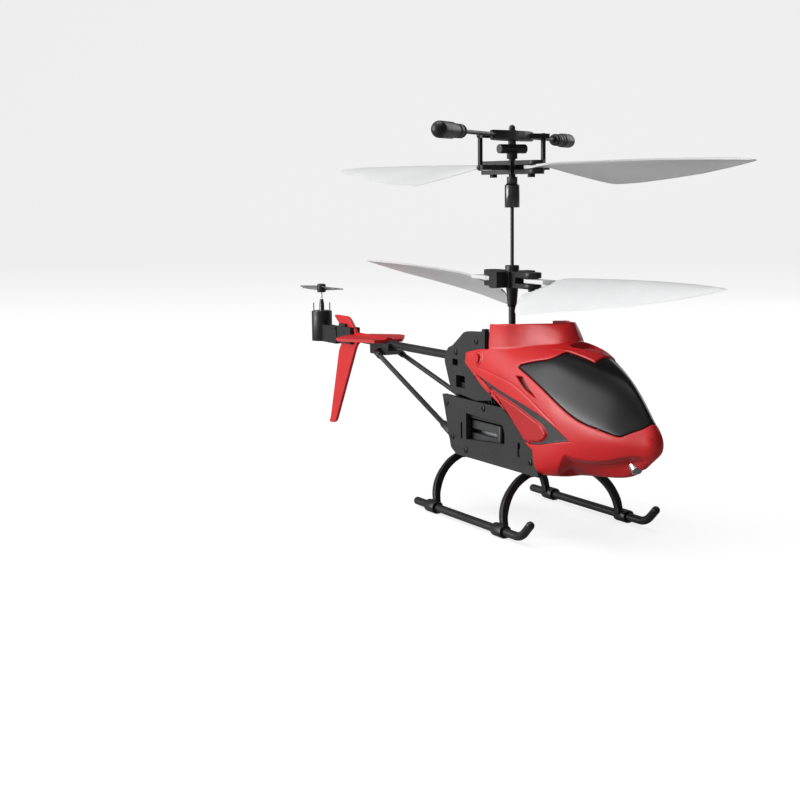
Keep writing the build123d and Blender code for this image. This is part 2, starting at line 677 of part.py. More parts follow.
with BuildPart() as tail_holder:
    with BuildSketch(level(39.4)):
        with Locations((0, TAIL_Y)):
            Circle(3.65)
    extrude(amount=10.6)
    with BuildSketch(level(39.4)):
        with Locations((0, 122.5)):
            Rectangle(3.0, 12.0)
    extrude(amount=6.0)
    with BuildSketch(level(40.4)):
        with Locations((0, 117.4)):
            Rectangle(4.2, 5.4)
    extrude(amount=4.0)
    with BuildSketch(level(40.4)):
        with Locations((0, TAIL_Y)):
            Circle(3.0)
    extrude(amount=12, mode=Mode.SUBTRACT)
    with BuildSketch(across(110, 90)):
        with Locations((0, BOOM_Z)):
            Circle(BOOM_R)
    extrude(amount=BOOM_END - 110, mode=Mode.SUBTRACT)
save(tail_holder.part, "tail_motor_holder")

with BuildPart() as tail_motor:
    with BuildSketch(level(40.4)):
        with Locations((0, TAIL_Y)):
            Circle(3.0)
    extrude(amount=9.8)
    with BuildSketch(level(50.2)):
        with Locations((0, TAIL_Y)):
            Circle(0.9)
    extrude(amount=2.4)
    with BuildSketch(level(52.6)):
        with Locations((0, TAIL_Y)):
            Circle(0.9)
    with BuildSketch(level(54.2)):
        with Locations((0, TAIL_Y)):
            Circle(0.6)
    loft()
    with BuildSketch(level(50.1)):
        with Locations((-2.6, TAIL_Y + 1.2), (2.6, TAIL_Y - 1.2)):
            Circle(0.2)
    extrude(amount=2.9)
    with BuildSketch(level(45)):
        with Locations((0, TAIL_Y)):
            Circle(0.35)
    extrude(amount=12, mode=Mode.SUBTRACT)
save(tail_motor.part, "tail_motor")

with BuildPart() as tail_shaft:
    with BuildSketch(level(46)):
        with Locations((0, TAIL_Y)):
            Circle(0.3)
    extrude(amount=13.4)
save(tail_shaft.part, "tail_motor_shaft")

PROP_TURN, PROP_R, PROP_Z = 101.0, 13.0, 58.2
with BuildPart() as propeller:
    with BuildSketch(level(PROP_Z - 1.5)):
        with Locations((0, TAIL_Y)):
            Circle(1.5)
    extrude(amount=3.0)
    for turn in (PROP_TURN, PROP_TURN + 180):
        a = radians(turn)
        for share, half, rise in ((0.08, 0.9, 0.5), (0.35, 1.6, 0.6), (0.7, 1.7, 0.4), (0.93, 1.1, 0.2),
                                  (1.0, 0.4, 0.05)):
            r = share * PROP_R
            with BuildSketch(Plane(origin=(r * cos(a), MAST_Y + TAIL_Y + r * sin(a), PROP_Z),
                                   x_dir=(-sin(a), cos(a), 0), z_dir=(cos(a), sin(a), 0))):
                Polygon(*lens((-half, rise), (half, -rise), 0.4, 0.1), align=None)
        loft(ruled=True)
    with BuildSketch(level(PROP_Z - 2)):
        with Locations((0, TAIL_Y)):
            Circle(0.3)
    extrude(amount=3.2, mode=Mode.SUBTRACT)
save(propeller.part, "tail_propeller")

# ---- landing gear ----
FEET = {"front": -27.0, "rear": 10.8}
for word, y in FEET.items():
    outer = [(-19.6, 2.4), (-19.4, 6.4), (-17.2, 11.4), (-14.3, 14.5), (-10.4, 16.8)]
    inner = [(-9.0, 15.3), (-12.7, 13.3), (-15.5, 10.4), (-17.5, 6.2), (-17.9, 2.4)]
    lean = radians(ARCH_LEAN)
    slab = Plane(origin=(0, MAST_Y + y - 1.2, 0), x_dir=(1, 0, 0), z_dir=(0, -cos(lean), sin(lean)))
    with BuildPart() as arch:
        with BuildSketch(slab.offset(-1.9)):
            with BuildLine():
                Spline(*outer, tangents=((0, 1), (1, 0.4)))
                Line(outer[-1], (10.4, 16.8))
                Spline(*[(-x, z) for x, z in reversed(outer)], tangents=((1, -0.4), (0, -1)))
                Line((19.6, 2.4), (17.9, 2.4))
                Spline(*[(-x, z) for x, z in reversed(inner)], tangents=((0, 1), (-1, 0.4)))
                Line((9.0, 15.3), inner[0])
                Spline(*inner, tangents=((-1, -0.4), (0, -1)))
                Line(inner[-1], outer[0])
            make_face()
        extrude(amount=1.9)
        with BuildSketch(level(16.2, 0, 0, y)):
            Rectangle(50, 30)
        extrude(amount=5, mode=Mode.SUBTRACT)
        for hand in (-1, 1):
            with BuildSketch(across(-y - 2.6)):
                with Locations((hand * SKID_X, SKID_Z)):
                    Circle(1.85)
            extrude(amount=5.2)
            with BuildSketch(across(-y - 2.6)):
                with Locations((hand * SKID_X, -2)):
                    Rectangle(6, 4)
            extrude(amount=5.2, mode=Mode.SUBTRACT)
            with BuildSketch(across(-y - 4)):
                with Locations((hand * SKID_X, SKID_Z)):
                    Circle(SKID_R)
            extrude(amount=8, mode=Mode.SUBTRACT)
    save(arch.part, word + "_arch")

for word, hand in (("right", -1), ("left", 1)):
    with BuildPart() as skid:
        with BuildLine(side(hand * SKID_X)) as path:
            Line((20.6, SKID_Z), (-34.8, SKID_Z))
            bend = JernArc((-34.8, SKID_Z), (-1, 0), 7.0, -42)
            Line(bend @ 1, bend @ 1 + 3.4 * (bend % 1))
        with BuildSketch(across(-20.6)):
            with Locations((hand * SKID_X, SKID_Z)):
                Circle(SKID_R)
        sweep(path=path.line)
        with Locations(path.line @ 0, path.line @ 1):
            Sphere(SKID_R)
    save(skid.part, "skid_tube_" + word)

# ---- canopy, windshield and nose lamp ----
# stations: distance from the mast, roof z, floor z, half width, z of the greatest width, and how
# pointed the section is above and below that line (1 is an ellipse, less is squarer)
HULL = [(7.0, 57.0, 29.0, 13.0, 42.0, 0.82, 0.6), (-3.0, 56.0, 27.0, 13.0, 41.5, 0.82, 0.6),
        (-15.0, 52.5, 22.0, 13.1, 39.0, 0.82, 0.55), (-30.0, 52.4, 17.4, 12.9, 35.0, 0.95, 0.42),
        (-40.0, 51.6, 17.6, 12.0, 32.0, 1.05, 0.62), (-50.0, 48.4, 18.1, 9.7, 30.2, 1.28, 0.9),
        (-58.0, 44.2, 19.4, 7.2, 29.5, 1.5, 1.15), (-64.0, 38.7, 22.2, 4.6, 29.3, 1.5, 1.2),
        (-67.7, 34.6, 24.9, 2.8, 29.0, 1.2, 1.0), (-70.0, 31.4, 27.0, 1.4, 28.8, 1.0, 1.0)]


def hull_section(roof, floor, wide, mid, above, below, inset):
    """Closed cross section of the canopy, drawn in by `inset`."""
    roof, floor, wide = roof - inset, floor + inset, max(0.5, wide - inset)
    upper, lower = [], []
    for k in range(7):
        a = pi / 2 * k / 6
        upper.append((wide * cos(a) ** above if k < 6 else 0.0, mid + (roof - mid) * sin(a) ** above))
        if 0 < k < 6:
            lower.append((wide * cos(a) ** below, mid - (mid - floor) * sin(a) ** below))
    half = upper[::-1] + lower
    return half + [(0.0, floor)] + [(-x, z) for x, z in half[:0:-1]]


def hull(inset):
    """Solid canopy shape with its mast collar, drawn in by `inset` on every side."""
    with BuildPart() as body:
        for y, *shape in HULL:
            with BuildSketch(across(-y - (inset if y < -60 else 0))):
                with BuildLine():
                    Spline(*hull_section(*shape, inset), periodic=True)
                make_face()
        loft()
    with BuildPart() as collar:
        for z, half_width, nose in ((46.0, 12.4, -38.5), (52.0, 11.4, -33.8), (59.0, 10.0, -29.6)):
            reach, elbow = half_width - inset, 0.66 * nose
            with BuildSketch(level(z)):
                with BuildLine():
                    Polyline((reach, -13.0), (reach + 0.3, 3.0), (-reach - 0.3, 3.0), (-reach, -13.0))
                    Spline((-reach, -13.0), (-0.58 * reach, elbow), (0, nose + inset), (0.58 * reach, elbow),
                           (reach, -13.0), tangents=((0, -1), (0, 1)))
                make_face()
        loft()
    return body.part + collar.part


KEEP = [(-4.9, 62.0), (-6.6, 49.2), (4.8, 46.9), (4.8, 43.8), (1.9, 42.1), (-5.6, 37.7), (-18.1, 32.2), (-28.4, 24.9),
        (-32.2, 21.8), (-33.0, 14.0), (-80.0, 14.0), (-80.0, 62.0)]
GLASS = [(-23.0, 45.0), (-28.4, 46.9), (-38.3, 49.2), (-44.0, 54.0), (-75.0, 54.0), (-72.0, 35.4), (-68.6, 34.6),
         (-66.0, 33.0), (-61.0, 31.8), (-54.0, 32.4), (-49.4, 33.3), (-45.6, 34.9), (-38.4, 38.6), (-28.4, 42.8)]
VISOR = [(5.6, -28.0), (4.7, -41.0), (3.3, -46.6), (2.4, -47.8), (-2.4, -47.8), (-3.3, -46.6), (-4.7, -41.0),
         (-5.6, -28.0)]
outer_hull, inner_hull = hull(0.0), hull(SKIN)
with BuildPart() as skin:
    add(outer_hull)
    add(inner_hull, mode=Mode.SUBTRACT)
    with BuildSketch(side(-20)):
        Polygon(*KEEP, align=None)
    extrude(amount=40, mode=Mode.INTERSECT)
    # the rim rises towards the front
    with BuildSketch(side(-20)):
        Polygon((5.0, 54.9), (-45.0, 58.1), (-45.0, 70.0), (5.0, 70.0), align=None)
    extrude(amount=40, mode=Mode.SUBTRACT)
    # room for the side plates inside the ears
    with BuildSketch(level(33.0)):
        with Locations((0, -0.6)):
            Rectangle(2 * (PLATE_X + PLATE_T) + 0.1, 15.2)
    extrude(amount=16.3, mode=Mode.SUBTRACT)
with BuildPart() as windshield:
    add(skin.part)
    with BuildSketch(side(-20)):
        Polygon(*GLASS, align=None)
    extrude(amount=40, mode=Mode.INTERSECT)
    with BuildSketch(level(30)):
        Polygon(*VISOR, align=None)
    extrude(amount=40, mode=Mode.SUBTRACT)
with BuildPart() as canopy:
    add(skin.part)
    add(windshield.part, mode=Mode.SUBTRACT)
    # lamp hole in the underside of the nose, screw holes in the ears, vent slots
    plane, length = along((0, -56.0, 27.0), (0, -64.5, 18.5))
    with BuildSketch(plane):
        Circle(1.8)
    extrude(amount=length, mode=Mode.SUBTRACT)
    with BuildSketch(side(-20)):
        with Locations((-2.6, 45.8)):
            Circle(0.8)
        Polygon((-22.6, 42.5), (-24.9, 42.2), (-33.3, 37.5), (-26.3, 39.6), align=None)
    extrude(amount=40, mode=Mode.SUBTRACT)
save(windshield.part, "windshield")
save(canopy.part, "canopy")

with BuildPart() as nose_lamp:
    with BuildSketch(plane):
        Circle(1.75)
    extrude(amount=length * 0.62)
    lens_at = Vector(0, MAST_Y - 56.0, 27.0) + plane.z_dir * (length * 0.62)
    with Locations(lens_at):
        Sphere(1.5)
save(nose_lamp.part, "nose_lamp")

with BuildPart() as canopy_pegs:
    for hand in (-1, 1):
        with BuildSketch(side(hand * (PLATE_X + PLATE_T))):
            with Locations((-2.6, 45.8)):
                Circle(0.75)
        extrude(amount=hand * 1.5)
        with BuildSketch(side(hand * 13.1)):
            with Locations((-2.6, 45.8)):
                Circle(1.3)
        extrude(amount=hand * 0.5)
save(canopy_pegs.part, "canopy_pegs")
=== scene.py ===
import math

import bmesh
import bpy
import numpy as np
from mathutils import Matrix, Vector
from mathutils.geometry import delaunay_2d_cdt


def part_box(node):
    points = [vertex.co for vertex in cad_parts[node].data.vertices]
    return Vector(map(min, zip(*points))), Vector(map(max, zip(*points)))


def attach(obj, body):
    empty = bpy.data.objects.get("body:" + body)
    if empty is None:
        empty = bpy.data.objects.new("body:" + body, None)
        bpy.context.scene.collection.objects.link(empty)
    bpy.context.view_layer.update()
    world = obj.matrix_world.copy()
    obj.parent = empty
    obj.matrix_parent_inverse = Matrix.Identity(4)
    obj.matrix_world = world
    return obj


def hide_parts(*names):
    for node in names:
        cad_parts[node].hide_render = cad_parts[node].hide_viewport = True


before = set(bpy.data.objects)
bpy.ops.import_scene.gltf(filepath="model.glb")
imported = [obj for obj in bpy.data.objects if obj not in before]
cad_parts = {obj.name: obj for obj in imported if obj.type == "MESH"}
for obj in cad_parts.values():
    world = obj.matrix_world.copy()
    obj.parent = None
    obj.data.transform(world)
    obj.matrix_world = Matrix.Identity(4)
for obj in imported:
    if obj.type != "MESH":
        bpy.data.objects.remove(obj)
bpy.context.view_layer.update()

# Lengths below are millimetres, y is taken from the mast, and both are turned into the row frame by put().
MM = 0.001
MAST_Y = (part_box("inner_shaft")[0][1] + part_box("inner_shaft")[1][1]) / 2 / MM
UP = (0, 0, 1)


def put(p):
    """Points in millimetres from the mast, in metres in the row frame."""
    p = np.atleast_2d(np.asarray(p, float)).copy()
    p[:, 1] += MAST_Y
    return p * MM


# ---------------- materials
class Nodes:
    """A material's node tree, built a line at a time."""

    def __init__(self, name):
        self.mat = bpy.data.materials.new(name)
        self.mat.use_nodes = True
        self.tree = self.mat.node_tree
        self.shader = self.tree.nodes["Principled BSDF"]
        coord = self.add("ShaderNodeTexCoord")
        self.where = coord.outputs["Object"]

    def add(self, kind, **inputs):
        node = self.tree.nodes.new(kind)
        for key, value in inputs.items():
            self.set(node, key, value)
        return node

    def set(self, node, key, value):
        socket = node.inputs[int(key[1:])] if key[0] == "i" and key[1:].isdigit() else node.inputs[key]
        if isinstance(value, bpy.types.NodeSocket):
            self.tree.links.new(value, socket)
        else:
            socket.default_value = value

    def noise(self, scale, detail=4.0, stretch=None, rough=0.55):
        where = self.where
        if stretch:
            m = self.add("ShaderNodeMapping", Vector=where)
            m.inputs["Scale"].default_value = stretch
            where = m.outputs[0]
        n = self.add("ShaderNodeTexNoise", Vector=where, Scale=scale, Detail=detail, Roughness=rough)
        return n.outputs["Fac"]

    def ramp(self, fac, low, high, a, b):
        r = self.add("ShaderNodeMapRange", Value=fac)
        for key, value in (("From Min", low), ("From Max", high), ("To Min", a), ("To Max", b)):
            r.inputs[key].default_value = value
        return r.outputs[0]

    def mix(self, fac, a, b):
        m = self.tree.nodes.new("ShaderNodeMix")
        m.data_type = "RGBA"
        for socket, value in ((m.inputs[0], fac), (m.inputs[6], a), (m.inputs[7], b)):
            if isinstance(value, bpy.types.NodeSocket):
                self.tree.links.new(value, socket)
            else:
                socket.default_value = value if isinstance(value, float) else (*value, 1.0)
        return m.outputs[2]

    def bump(self, height, strength, distance):
        b = self.add("ShaderNodeBump", Height=height)
        b.inputs["Strength"].default_value = strength
        b.inputs["Distance"].default_value = distance
        self.set(self.shader, "Normal", b.outputs[0])

    def finish(self, **uniform):
        for key, value in uniform.items():
            self.shader.inputs[key.replace("_", " ")].default_value = value
        return self.mat


def plastic(name, colour, rough, spread=0.12, grain=900.0, depth=4e-5, coat=0.0, metal=0.0, wear=0.12,
            stretch=None, specular=0.4, tint=None, uneven=0.22):
    """Moulded plastic or metal: cloudy colour, uneven gloss, fine grain and paler worn edges."""
    n = Nodes(name)
    cloud = n.ramp(n.noise(60.0, 3.0), 0.35, 0.65, 0.0, 1.0)
    dark = tuple(c * (1 - spread) for c in colour)
    light = tint or tuple(min(1.0, c * (1 + spread)) for c in colour)
    base = n.mix(cloud, dark, light)
    if wear:
        geo = n.add("ShaderNodeNewGeometry")
        edge = n.ramp(geo.outputs["Pointiness"], 0.53, 0.60, 0.0, wear)
        base = n.mix(edge, base, tuple(min(1.0, c * 1.6 + 0.10) for c in colour))
    n.set(n.shader, "Base Color", base)
    fine = n.noise(grain, 5.0, stretch, 0.6)
    smear = n.noise(130.0, 4.0, None, 0.65)
    add = n.add("ShaderNodeMath", i0=fine, i1=smear)
    gloss = n.ramp(add.outputs[0], 0.7, 1.3, rough * (1 - uneven), rough * (1 + uneven))
    n.set(n.shader, "Roughness", gloss)
    n.bump(fine, 0.5, depth)
    return n.finish(Metallic=metal, Coat_Weight=coat, Coat_Roughness=0.06, Specular_IOR_Level=specular)


SMOOTH = 1e-6             # grain depth, in metres, of a polished mould
RED = plastic("red_gloss", (0.57, 0.010, 0.012), 0.40, 0.05, 400.0, SMOOTH, 0.05, wear=0.0, specular=0.36,
              tint=(0.61, 0.012, 0.014), uneven=0.06)
# Darker red of the tongue panel, also laid on the nose underside below the crease as painted shade
TONGUE_AND_UNDER_SHADE_RED = plastic("red_panel_and_under_shade", (0.42, 0.006, 0.008), 0.36, 0.05, 400.0, SMOOTH, 0.08, wear=0.0,
                     specular=0.35, tint=(0.45, 0.007, 0.009), uneven=0.06)
# Painted shade: dark red for the vent's inside and the inner side of the canopy shell, where shade falls
PAINTED_SHADE_RED = plastic("red_painted_inside_shade", (0.14, 0.003, 0.005), 0.45, 0.15, 700.0, 4e-6, wear=0.0)
GLASS = plastic("windshield_gloss", (0.004, 0.004, 0.0045), 0.25, 0.15, 500.0, SMOOTH, wear=0.0,
                specular=0.26, uneven=0.06)
PANEL = plastic("recess_grey", (0.030, 0.026, 0.028), 0.50, 0.14, 900.0, 1e-5, wear=0.03)
BLACK = plastic("black_moulded", (0.0075, 0.0075, 0.008), 0.40, 0.18, 900.0, 1.2e-5, wear=0.04)
PLATE = plastic("plate_matte", (0.019, 0.019, 0.020), 0.55, 0.10, 1100.0, 1.5e-5, wear=0.04, specular=0.3)
TRAY = plastic("tray_grey", (0.030, 0.031, 0.032), 0.44, 0.12, 900.0, 1e-5, wear=0.05)
TUBE = plastic("tube_satin", (0.010, 0.010, 0.011), 0.36, 0.15, 700.0, 8e-6, wear=0.04, stretch=(1, 0.06, 1))
SHAFT = plastic("shaft_dark", (0.016, 0.016, 0.018), 0.34, 0.2, 900.0, 6e-6, wear=0.04, stretch=(1, 1, 0.05))
STEEL = plastic("steel_bright", (0.55, 0.55, 0.57), 0.28, 0.1, 900.0, 2e-5, metal=1.0, stretch=(1, 1, 0.05))
SCREW = plastic("screw_black", (0.008, 0.008, 0.009), 0.42, 0.2, 1200.0, 2e-5, wear=0.04)
BRASS = plastic("brass_cut", (0.60, 0.42, 0.17), 0.30, 0.12, 1200.0, 2e-5, metal=1.0)
MOTOR = plastic("motor_can", (0.42, 0.42, 0.44), 0.30, 0.1, 1000.0, 2e-5, metal=1.0, stretch=(1, 1, 0.05))
TAIL_CAN = plastic("tail_motor_can", (0.020, 0.020, 0.022), 0.22, 0.15, 900.0, 2e-5, 0.6,
                   stretch=(1, 1, 0.06))
GEAR = plastic("gear_nylon", (0.020, 0.020, 0.021), 0.45, 0.15, 1400.0, 3e-5)
FOIL = plastic("cell_foil", (0.45, 0.46, 0.48), 0.38, 0.1, 500.0, 8e-5, metal=0.6)
BOARD = plastic("board_mask", (0.012, 0.085, 0.035), 0.30, 0.2, 1500.0, 3e-5, 0.5)
CHROME = plastic("reflector", (0.86, 0.86, 0.88), 0.10, 0.03, 900.0, 1e-5, metal=1.0, wear=0.0)


def blade_material():
    n = Nodes("blade_frosted")
    cloud = n.noise(40.0, 3.0, (1, 1, 1))
    flow = n.noise(220.0, 5.0, (1.0, 0.10, 1.0))
    cloud = n.ramp(cloud, 0.35, 0.65, 0.0, 1.0)
    n.set(n.shader, "Base Color", n.mix(cloud, (0.74, 0.745, 0.75), (0.79, 0.795, 0.80)))
    n.set(n.shader, "Roughness", n.ramp(flow, 0.3, 0.7, 0.34, 0.42))
    n.bump(flow, 0.3, 8e-6)
    return n.finish(Transmission_Weight=0.12, IOR=1.46, Specular_IOR_Level=0.35)


def prop_material():
    n = Nodes("propeller_smoke")
    flow = n.noise(400.0, 4.0)
    cloud = n.ramp(flow, 0.35, 0.65, 0.0, 1.0)
    n.set(n.shader, "Base Color", n.mix(cloud, (0.20, 0.20, 0.205), (0.27, 0.27, 0.275)))
    n.set(n.shader, "Roughness", n.ramp(flow, 0.3, 0.7, 0.25, 0.38))
    n.bump(flow, 0.4, 3e-5)
    return n.finish(Transmission_Weight=0.25, IOR=1.46)


def lamp_material():
    n = Nodes("lamp_clear")
    flow = n.noise(300.0, 2.0)
    # Painted shade: the clear lens is tinted dark so that the lamp shows a dark centre over the chrome
    n.set(n.shader, "Base Color", n.mix(flow, (0.20, 0.21, 0.23), (0.30, 0.32, 0.34)))
    n.set(n.shader, "Roughness", n.ramp(flow, 0.3, 0.7, 0.02, 0.06))
    return n.finish(Transmission_Weight=1.0, IOR=1.49)


BLADE = blade_material()
PROP = prop_material()
LAMP = lamp_material()


# ---------------- meshes
def make(name, verts, faces, mats, body, nodes=(), index=None, sharp=None):
    """A smooth-shaded mesh piece riding on a body, with creases sharper than `sharp` degrees kept."""
    me = bpy.data.meshes.new(name)
    me.from_pydata([tuple(p) for p in put(verts)], [], [tuple(int(i) for i in f) for f in faces])
    for m in mats:
        me.materials.append(m)
    if index is not None:
        me.polygons.foreach_set("material_index", [int(i) for i in index])
    me.polygons.foreach_set("use_smooth", [True] * len(me.polygons))
    me.update()
    if sharp:
        me.set_sharp_from_angle(angle=math.radians(sharp))
    ob = bpy.data.objects.new(name, me)
    bpy.context.scene.collection.objects.link(ob)
    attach(ob, body)
    if nodes:
        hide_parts(*nodes)
    return ob


class Pile:
    """Several closed shapes gathered into one mesh."""

    def __init__(self):
        self.verts, self.faces, self.index = [], [], []

    def add(self, verts, faces, mat=0):
        at = len(self.verts)
        self.verts += [tuple(v) for v in verts]
        self.faces += [tuple(int(i) + at for i in f) for f in faces]
        self.index += [mat] * len(faces)

    def make(self, name, mats, body, nodes=(), slot=None, sharp=40):
        return make(name, self.verts, self.faces, mats, body, nodes, self.index, sharp)


def axes(z):
    """Rotation whose z axis points along z."""
    return np.array(Vector(z).to_track_quat("Z", "Y").to_matrix())


def circle(radius, steps):
    return [(radius * math.cos(2 * math.pi * k / steps), radius * math.sin(2 * math.pi * k / steps))
            for k in range(steps)]


def lathe(profile, at, axis, steps, pile, mat=0):
    """Turned solid from (distance along the axis, radius) points, open ends closed on the axis."""
    profile = list(profile)
    if profile[0][1] > 1e-6:
        profile.insert(0, (profile[0][0], 0.0))
    if profile[-1][1] > 1e-6:
        profile.append((profile[-1][0], 0.0))
    verts, rings = [], []
    for d, radius in profile:
        if radius < 1e-6:
            rings.append([len(verts)])
            verts.append((0, 0, d))
        else:
            rings.append(list(range(len(verts), len(verts) + steps)))
            verts += [(x, y, d) for x, y in circle(radius, steps)]
    faces = []
    for a, b in zip(rings, rings[1:]):
        for k in range(steps):
            n = (k + 1) % steps
            if len(a) == 1 and len(b) == 1:
                continue
            if len(a) == 1:
                faces.append((a[0], b[n], b[k]))
            elif len(b) == 1:
                faces.append((a[k], a[n], b[0]))
            else:
                faces.append((a[k], a[n], b[n], b[k]))
    pile.add(np.asarray(verts) @ axes(axis).T + np.asarray(at, float), faces, mat)


def rounded(rows, bevel, cuts=3):
    """Profile for lathe() with every corner rounded by `bevel`."""
    out = []
    for i, p in enumerate(rows):
        if i in (0, len(rows) - 1):
            out.append(p)
            continue
        p, a, b = Vector(p), Vector(rows[i - 1]), Vector(rows[i + 1])
        da, db = min(bevel, (a - p).length * 0.48), min(bevel, (b - p).length * 0.48)
        start, end = p + (a - p).normalized() * da, p + (b - p).normalized() * db
        for k in range(cuts + 1):
            t = k / cuts
            q = start * (1 - t) ** 2 + p * 2 * t * (1 - t) + end * t ** 2
            out.append((q[0], q[1]))
    return out


def cubic(knots, values, x, flat=(False, False)):
    """Curve of continuous curvature through values at knots, level at an end where flat says so."""
    knots, values, x = np.asarray(knots, float), np.asarray(values, float), np.asarray(x, float)
    if values.ndim == 1:
        return cubic(knots, values[:, None], x, flat)[:, 0]
    n, h = len(knots), np.diff(knots)
    a, b = np.zeros((n, n)), np.zeros(values.shape)
    for i in range(1, n - 1):
        a[i, i - 1:i + 2] = h[i - 1], 2 * (h[i - 1] + h[i]), h[i]
        b[i] = 6 * ((values[i + 1] - values[i]) / h[i] - (values[i] - values[i - 1]) / h[i - 1])
    a[0, 0] = a[-1, -1] = 1
    if flat[0]:
        a[0, :2] = 2 * h[0], h[0]
        b[0] = 6 * (values[1] - values[0]) / h[0]
    if flat[1]:
        a[-1, -2:] = h[-1], 2 * h[-1]
        b[-1] = -6 * (values[-1] - values[-2]) / h[-1]
    m = np.linalg.solve(a, b)
    i = np.clip(np.searchsorted(knots, x, side="right") - 1, 0, n - 2)
    w, t = h[i][:, None], (x - knots[i])[:, None]
    return (values[i] + t * ((values[i + 1] - values[i]) / w - w * (2 * m[i] + m[i + 1]) / 6)
            + t ** 2 * m[i] / 2 + t ** 3 * (m[i + 1] - m[i]) / (6 * w))


def step(x, a, b):
    """0 up to a, 1 from b on, and smooth between them."""
    t = np.clip((x - a) / (b - a), 0, 1)
    return t * t * (3 - 2 * t)


# ---------------- canopy surface
# stations: y, roof, floor, half width, z of the greatest width, how pointed above and below
HULL = [(-70.6, 29.4, 28.2, 0.02, 28.8, 1.0, 1.0), (-70.1, 31.2, 27.1, 1.3, 28.8, 1.0, 1.0),
        (-67.7, 34.6, 24.9, 2.9, 29.0, 1.15, 1.0), (-64.0, 38.7, 22.2, 4.7, 29.3, 1.4, 1.15),
        (-58.0, 44.2, 19.4, 7.3, 29.5, 1.4, 1.1), (-50.0, 48.4, 18.1, 9.8, 30.2, 1.22, 0.9),
        (-40.0, 51.6, 17.1, 12.1, 32.0, 1.05, 0.48), (-30.0, 52.4, 16.6, 12.9, 35.0, 0.95, 0.26),
        (-15.0, 52.5, 22.0, 13.1, 39.0, 0.82, 0.55), (-3.0, 56.0, 27.0, 13.0, 41.5, 0.82, 0.6),
        (7.0, 57.0, 29.0, 13.0, 42.0, 0.82, 0.6)]
PARTS = 14                # control points down each half section
SCALE = 3.8               # surface millimetres, about, for each of them
BELLY = PARTS * SCALE     # q on the centre line underneath; q is 0 on the centre line on top


def station(row):
    """Control points, x and z, down one half section."""
    _, roof, floor, wide, mid, above, below = row
    t = np.linspace(math.pi / 2, -math.pi / 2, 1201)
    c, s = np.clip(np.cos(t), 0, 1), np.abs(np.sin(t))
    p = np.where(t > 0, above, below)
    x = wide * c ** p
    z = np.where(t > 0, mid + (roof - mid) * s ** p, mid - (mid - floor) * s ** p)
    run = np.concatenate([[0], np.cumsum(np.hypot(np.diff(x), np.diff(z)))])
    at = np.linspace(0, run[-1], PARTS + 1)
    return np.interp(at, run, x), np.interp(at, run, z)


ROWS = [station(r) for r in HULL]
SX, SZ = np.array([r[0] for r in ROWS]), np.array([r[1] for r in ROWS])
SY = np.array([r[0] for r in HULL])
SU = np.concatenate([[0], np.cumsum([
    math.sqrt((SY[i + 1] - SY[i]) ** 2 + np.mean((SX[i + 1] - SX[i]) ** 2 + (SZ[i + 1] - SZ[i]) ** 2))
    for i in range(len(SY) - 1)])])
TABLE_U = np.linspace(0, SU[-1], 2000)
TABLE_Y = cubic(SU, SY, TABLE_U)
UNIT = np.eye(PARTS + 1)


def hull(u, q):
    """Point of the canopy's right side at u along it and q round it from the top, in mm."""
    u, v = np.asarray(u, float), np.asarray(q, float) / SCALE
    wx = cubic(range(PARTS + 1), UNIT, v)
    wz = cubic(range(PARTS + 1), UNIT, v, (True, True))
    x, z = (cubic(SU, SX, u) * wx).sum(1), (cubic(SU, SZ, u) * wz).sum(1)
    return np.stack([-np.maximum(x, 0), cubic(SU, SY, u), z], 1)


def slopes(u, q):
    """How fast the surface point moves with u and with q."""
    e = 0.02
    du = (hull(u + e, q) - hull(np.maximum(u - e, 0), q)) / (u + e - np.maximum(u - e, 0))[:, None]
    a, b = np.maximum(q - e, 0), np.minimum(q + e, BELLY)
    dq = (hull(u, b) - hull(u, a)) / (b - a)[:, None]
    return du, dq


def normal(u, q):
    """Outward unit normal, kept upright on the centre line."""
    du, dq = slopes(u, np.clip(q, 0.04, BELLY - 0.04))
    n = np.cross(du, dq)
    n /= np.maximum(np.linalg.norm(n, axis=1), 1e-9)[:, None]
    edge = (q < 1e-6) | (q > BELLY - 1e-6)
    n[edge, 0] = 0
    return n / np.maximum(np.linalg.norm(n, axis=1), 1e-9)[:, None]


def at_u(y):
    """The u of the section at y."""
    return float(np.interp(y, TABLE_Y, TABLE_U))


def seen(y, z):
    """Surface coordinates of the point with that y and z."""
    u = at_u(y)
    q = np.linspace(0, BELLY, 600)
    zs = hull(np.full(600, u), q)[:, 2]
    return u, float(np.interp(-z, -zs, q))


def above(x, y):
    """Surface coordinates of the upper point with that x and y."""
    u = at_u(y)
    q = np.linspace(0, BELLY * 0.5, 400)
    xs = -hull(np.full(400, u), q)[:, 0]
    top = int(np.argmax(xs))
    return u, float(np.interp(abs(x), xs[:top + 1], q[:top + 1]))


def curve(points, corners=(), closed=False, gap=0.35):
    """Smooth line through surface coordinates, sharp at the numbered corners and at open ends."""
    points = [np.array(p, float) for p in points]
    if closed:
        corners = sorted(set(corners)) or [0]
        points = points[corners[0]:] + points[:corners[0]] + [points[corners[0]]]
        corners = [c - corners[0] for c in corners] + [len(points) - 1]
    else:
        corners = [0] + sorted(set(corners) - {0, len(points) - 1}) + [len(points) - 1]
    out = []
    for a, b in zip(corners, corners[1:]):
        part = np.array(points[a:b + 1])
        run = np.concatenate([[0], np.cumsum(np.linalg.norm(np.diff(part, axis=0), axis=1))])
        n = max(2, int(run[-1] / gap) + 1)
        at = np.linspace(0, run[-1], n)
        out += list((cubic(run, part, at) if len(part) > 2 else
                     part[0] + (part[1] - part[0]) * (at / run[-1])[:, None])[:-1])
    if not closed:
        out.append(points[-1])
    return np.array(out)


def traced(points, corners=(), closed=False):
    """curve() through points given by y and z."""
    return curve([seen(y, z) for y, z in points], corners, closed)


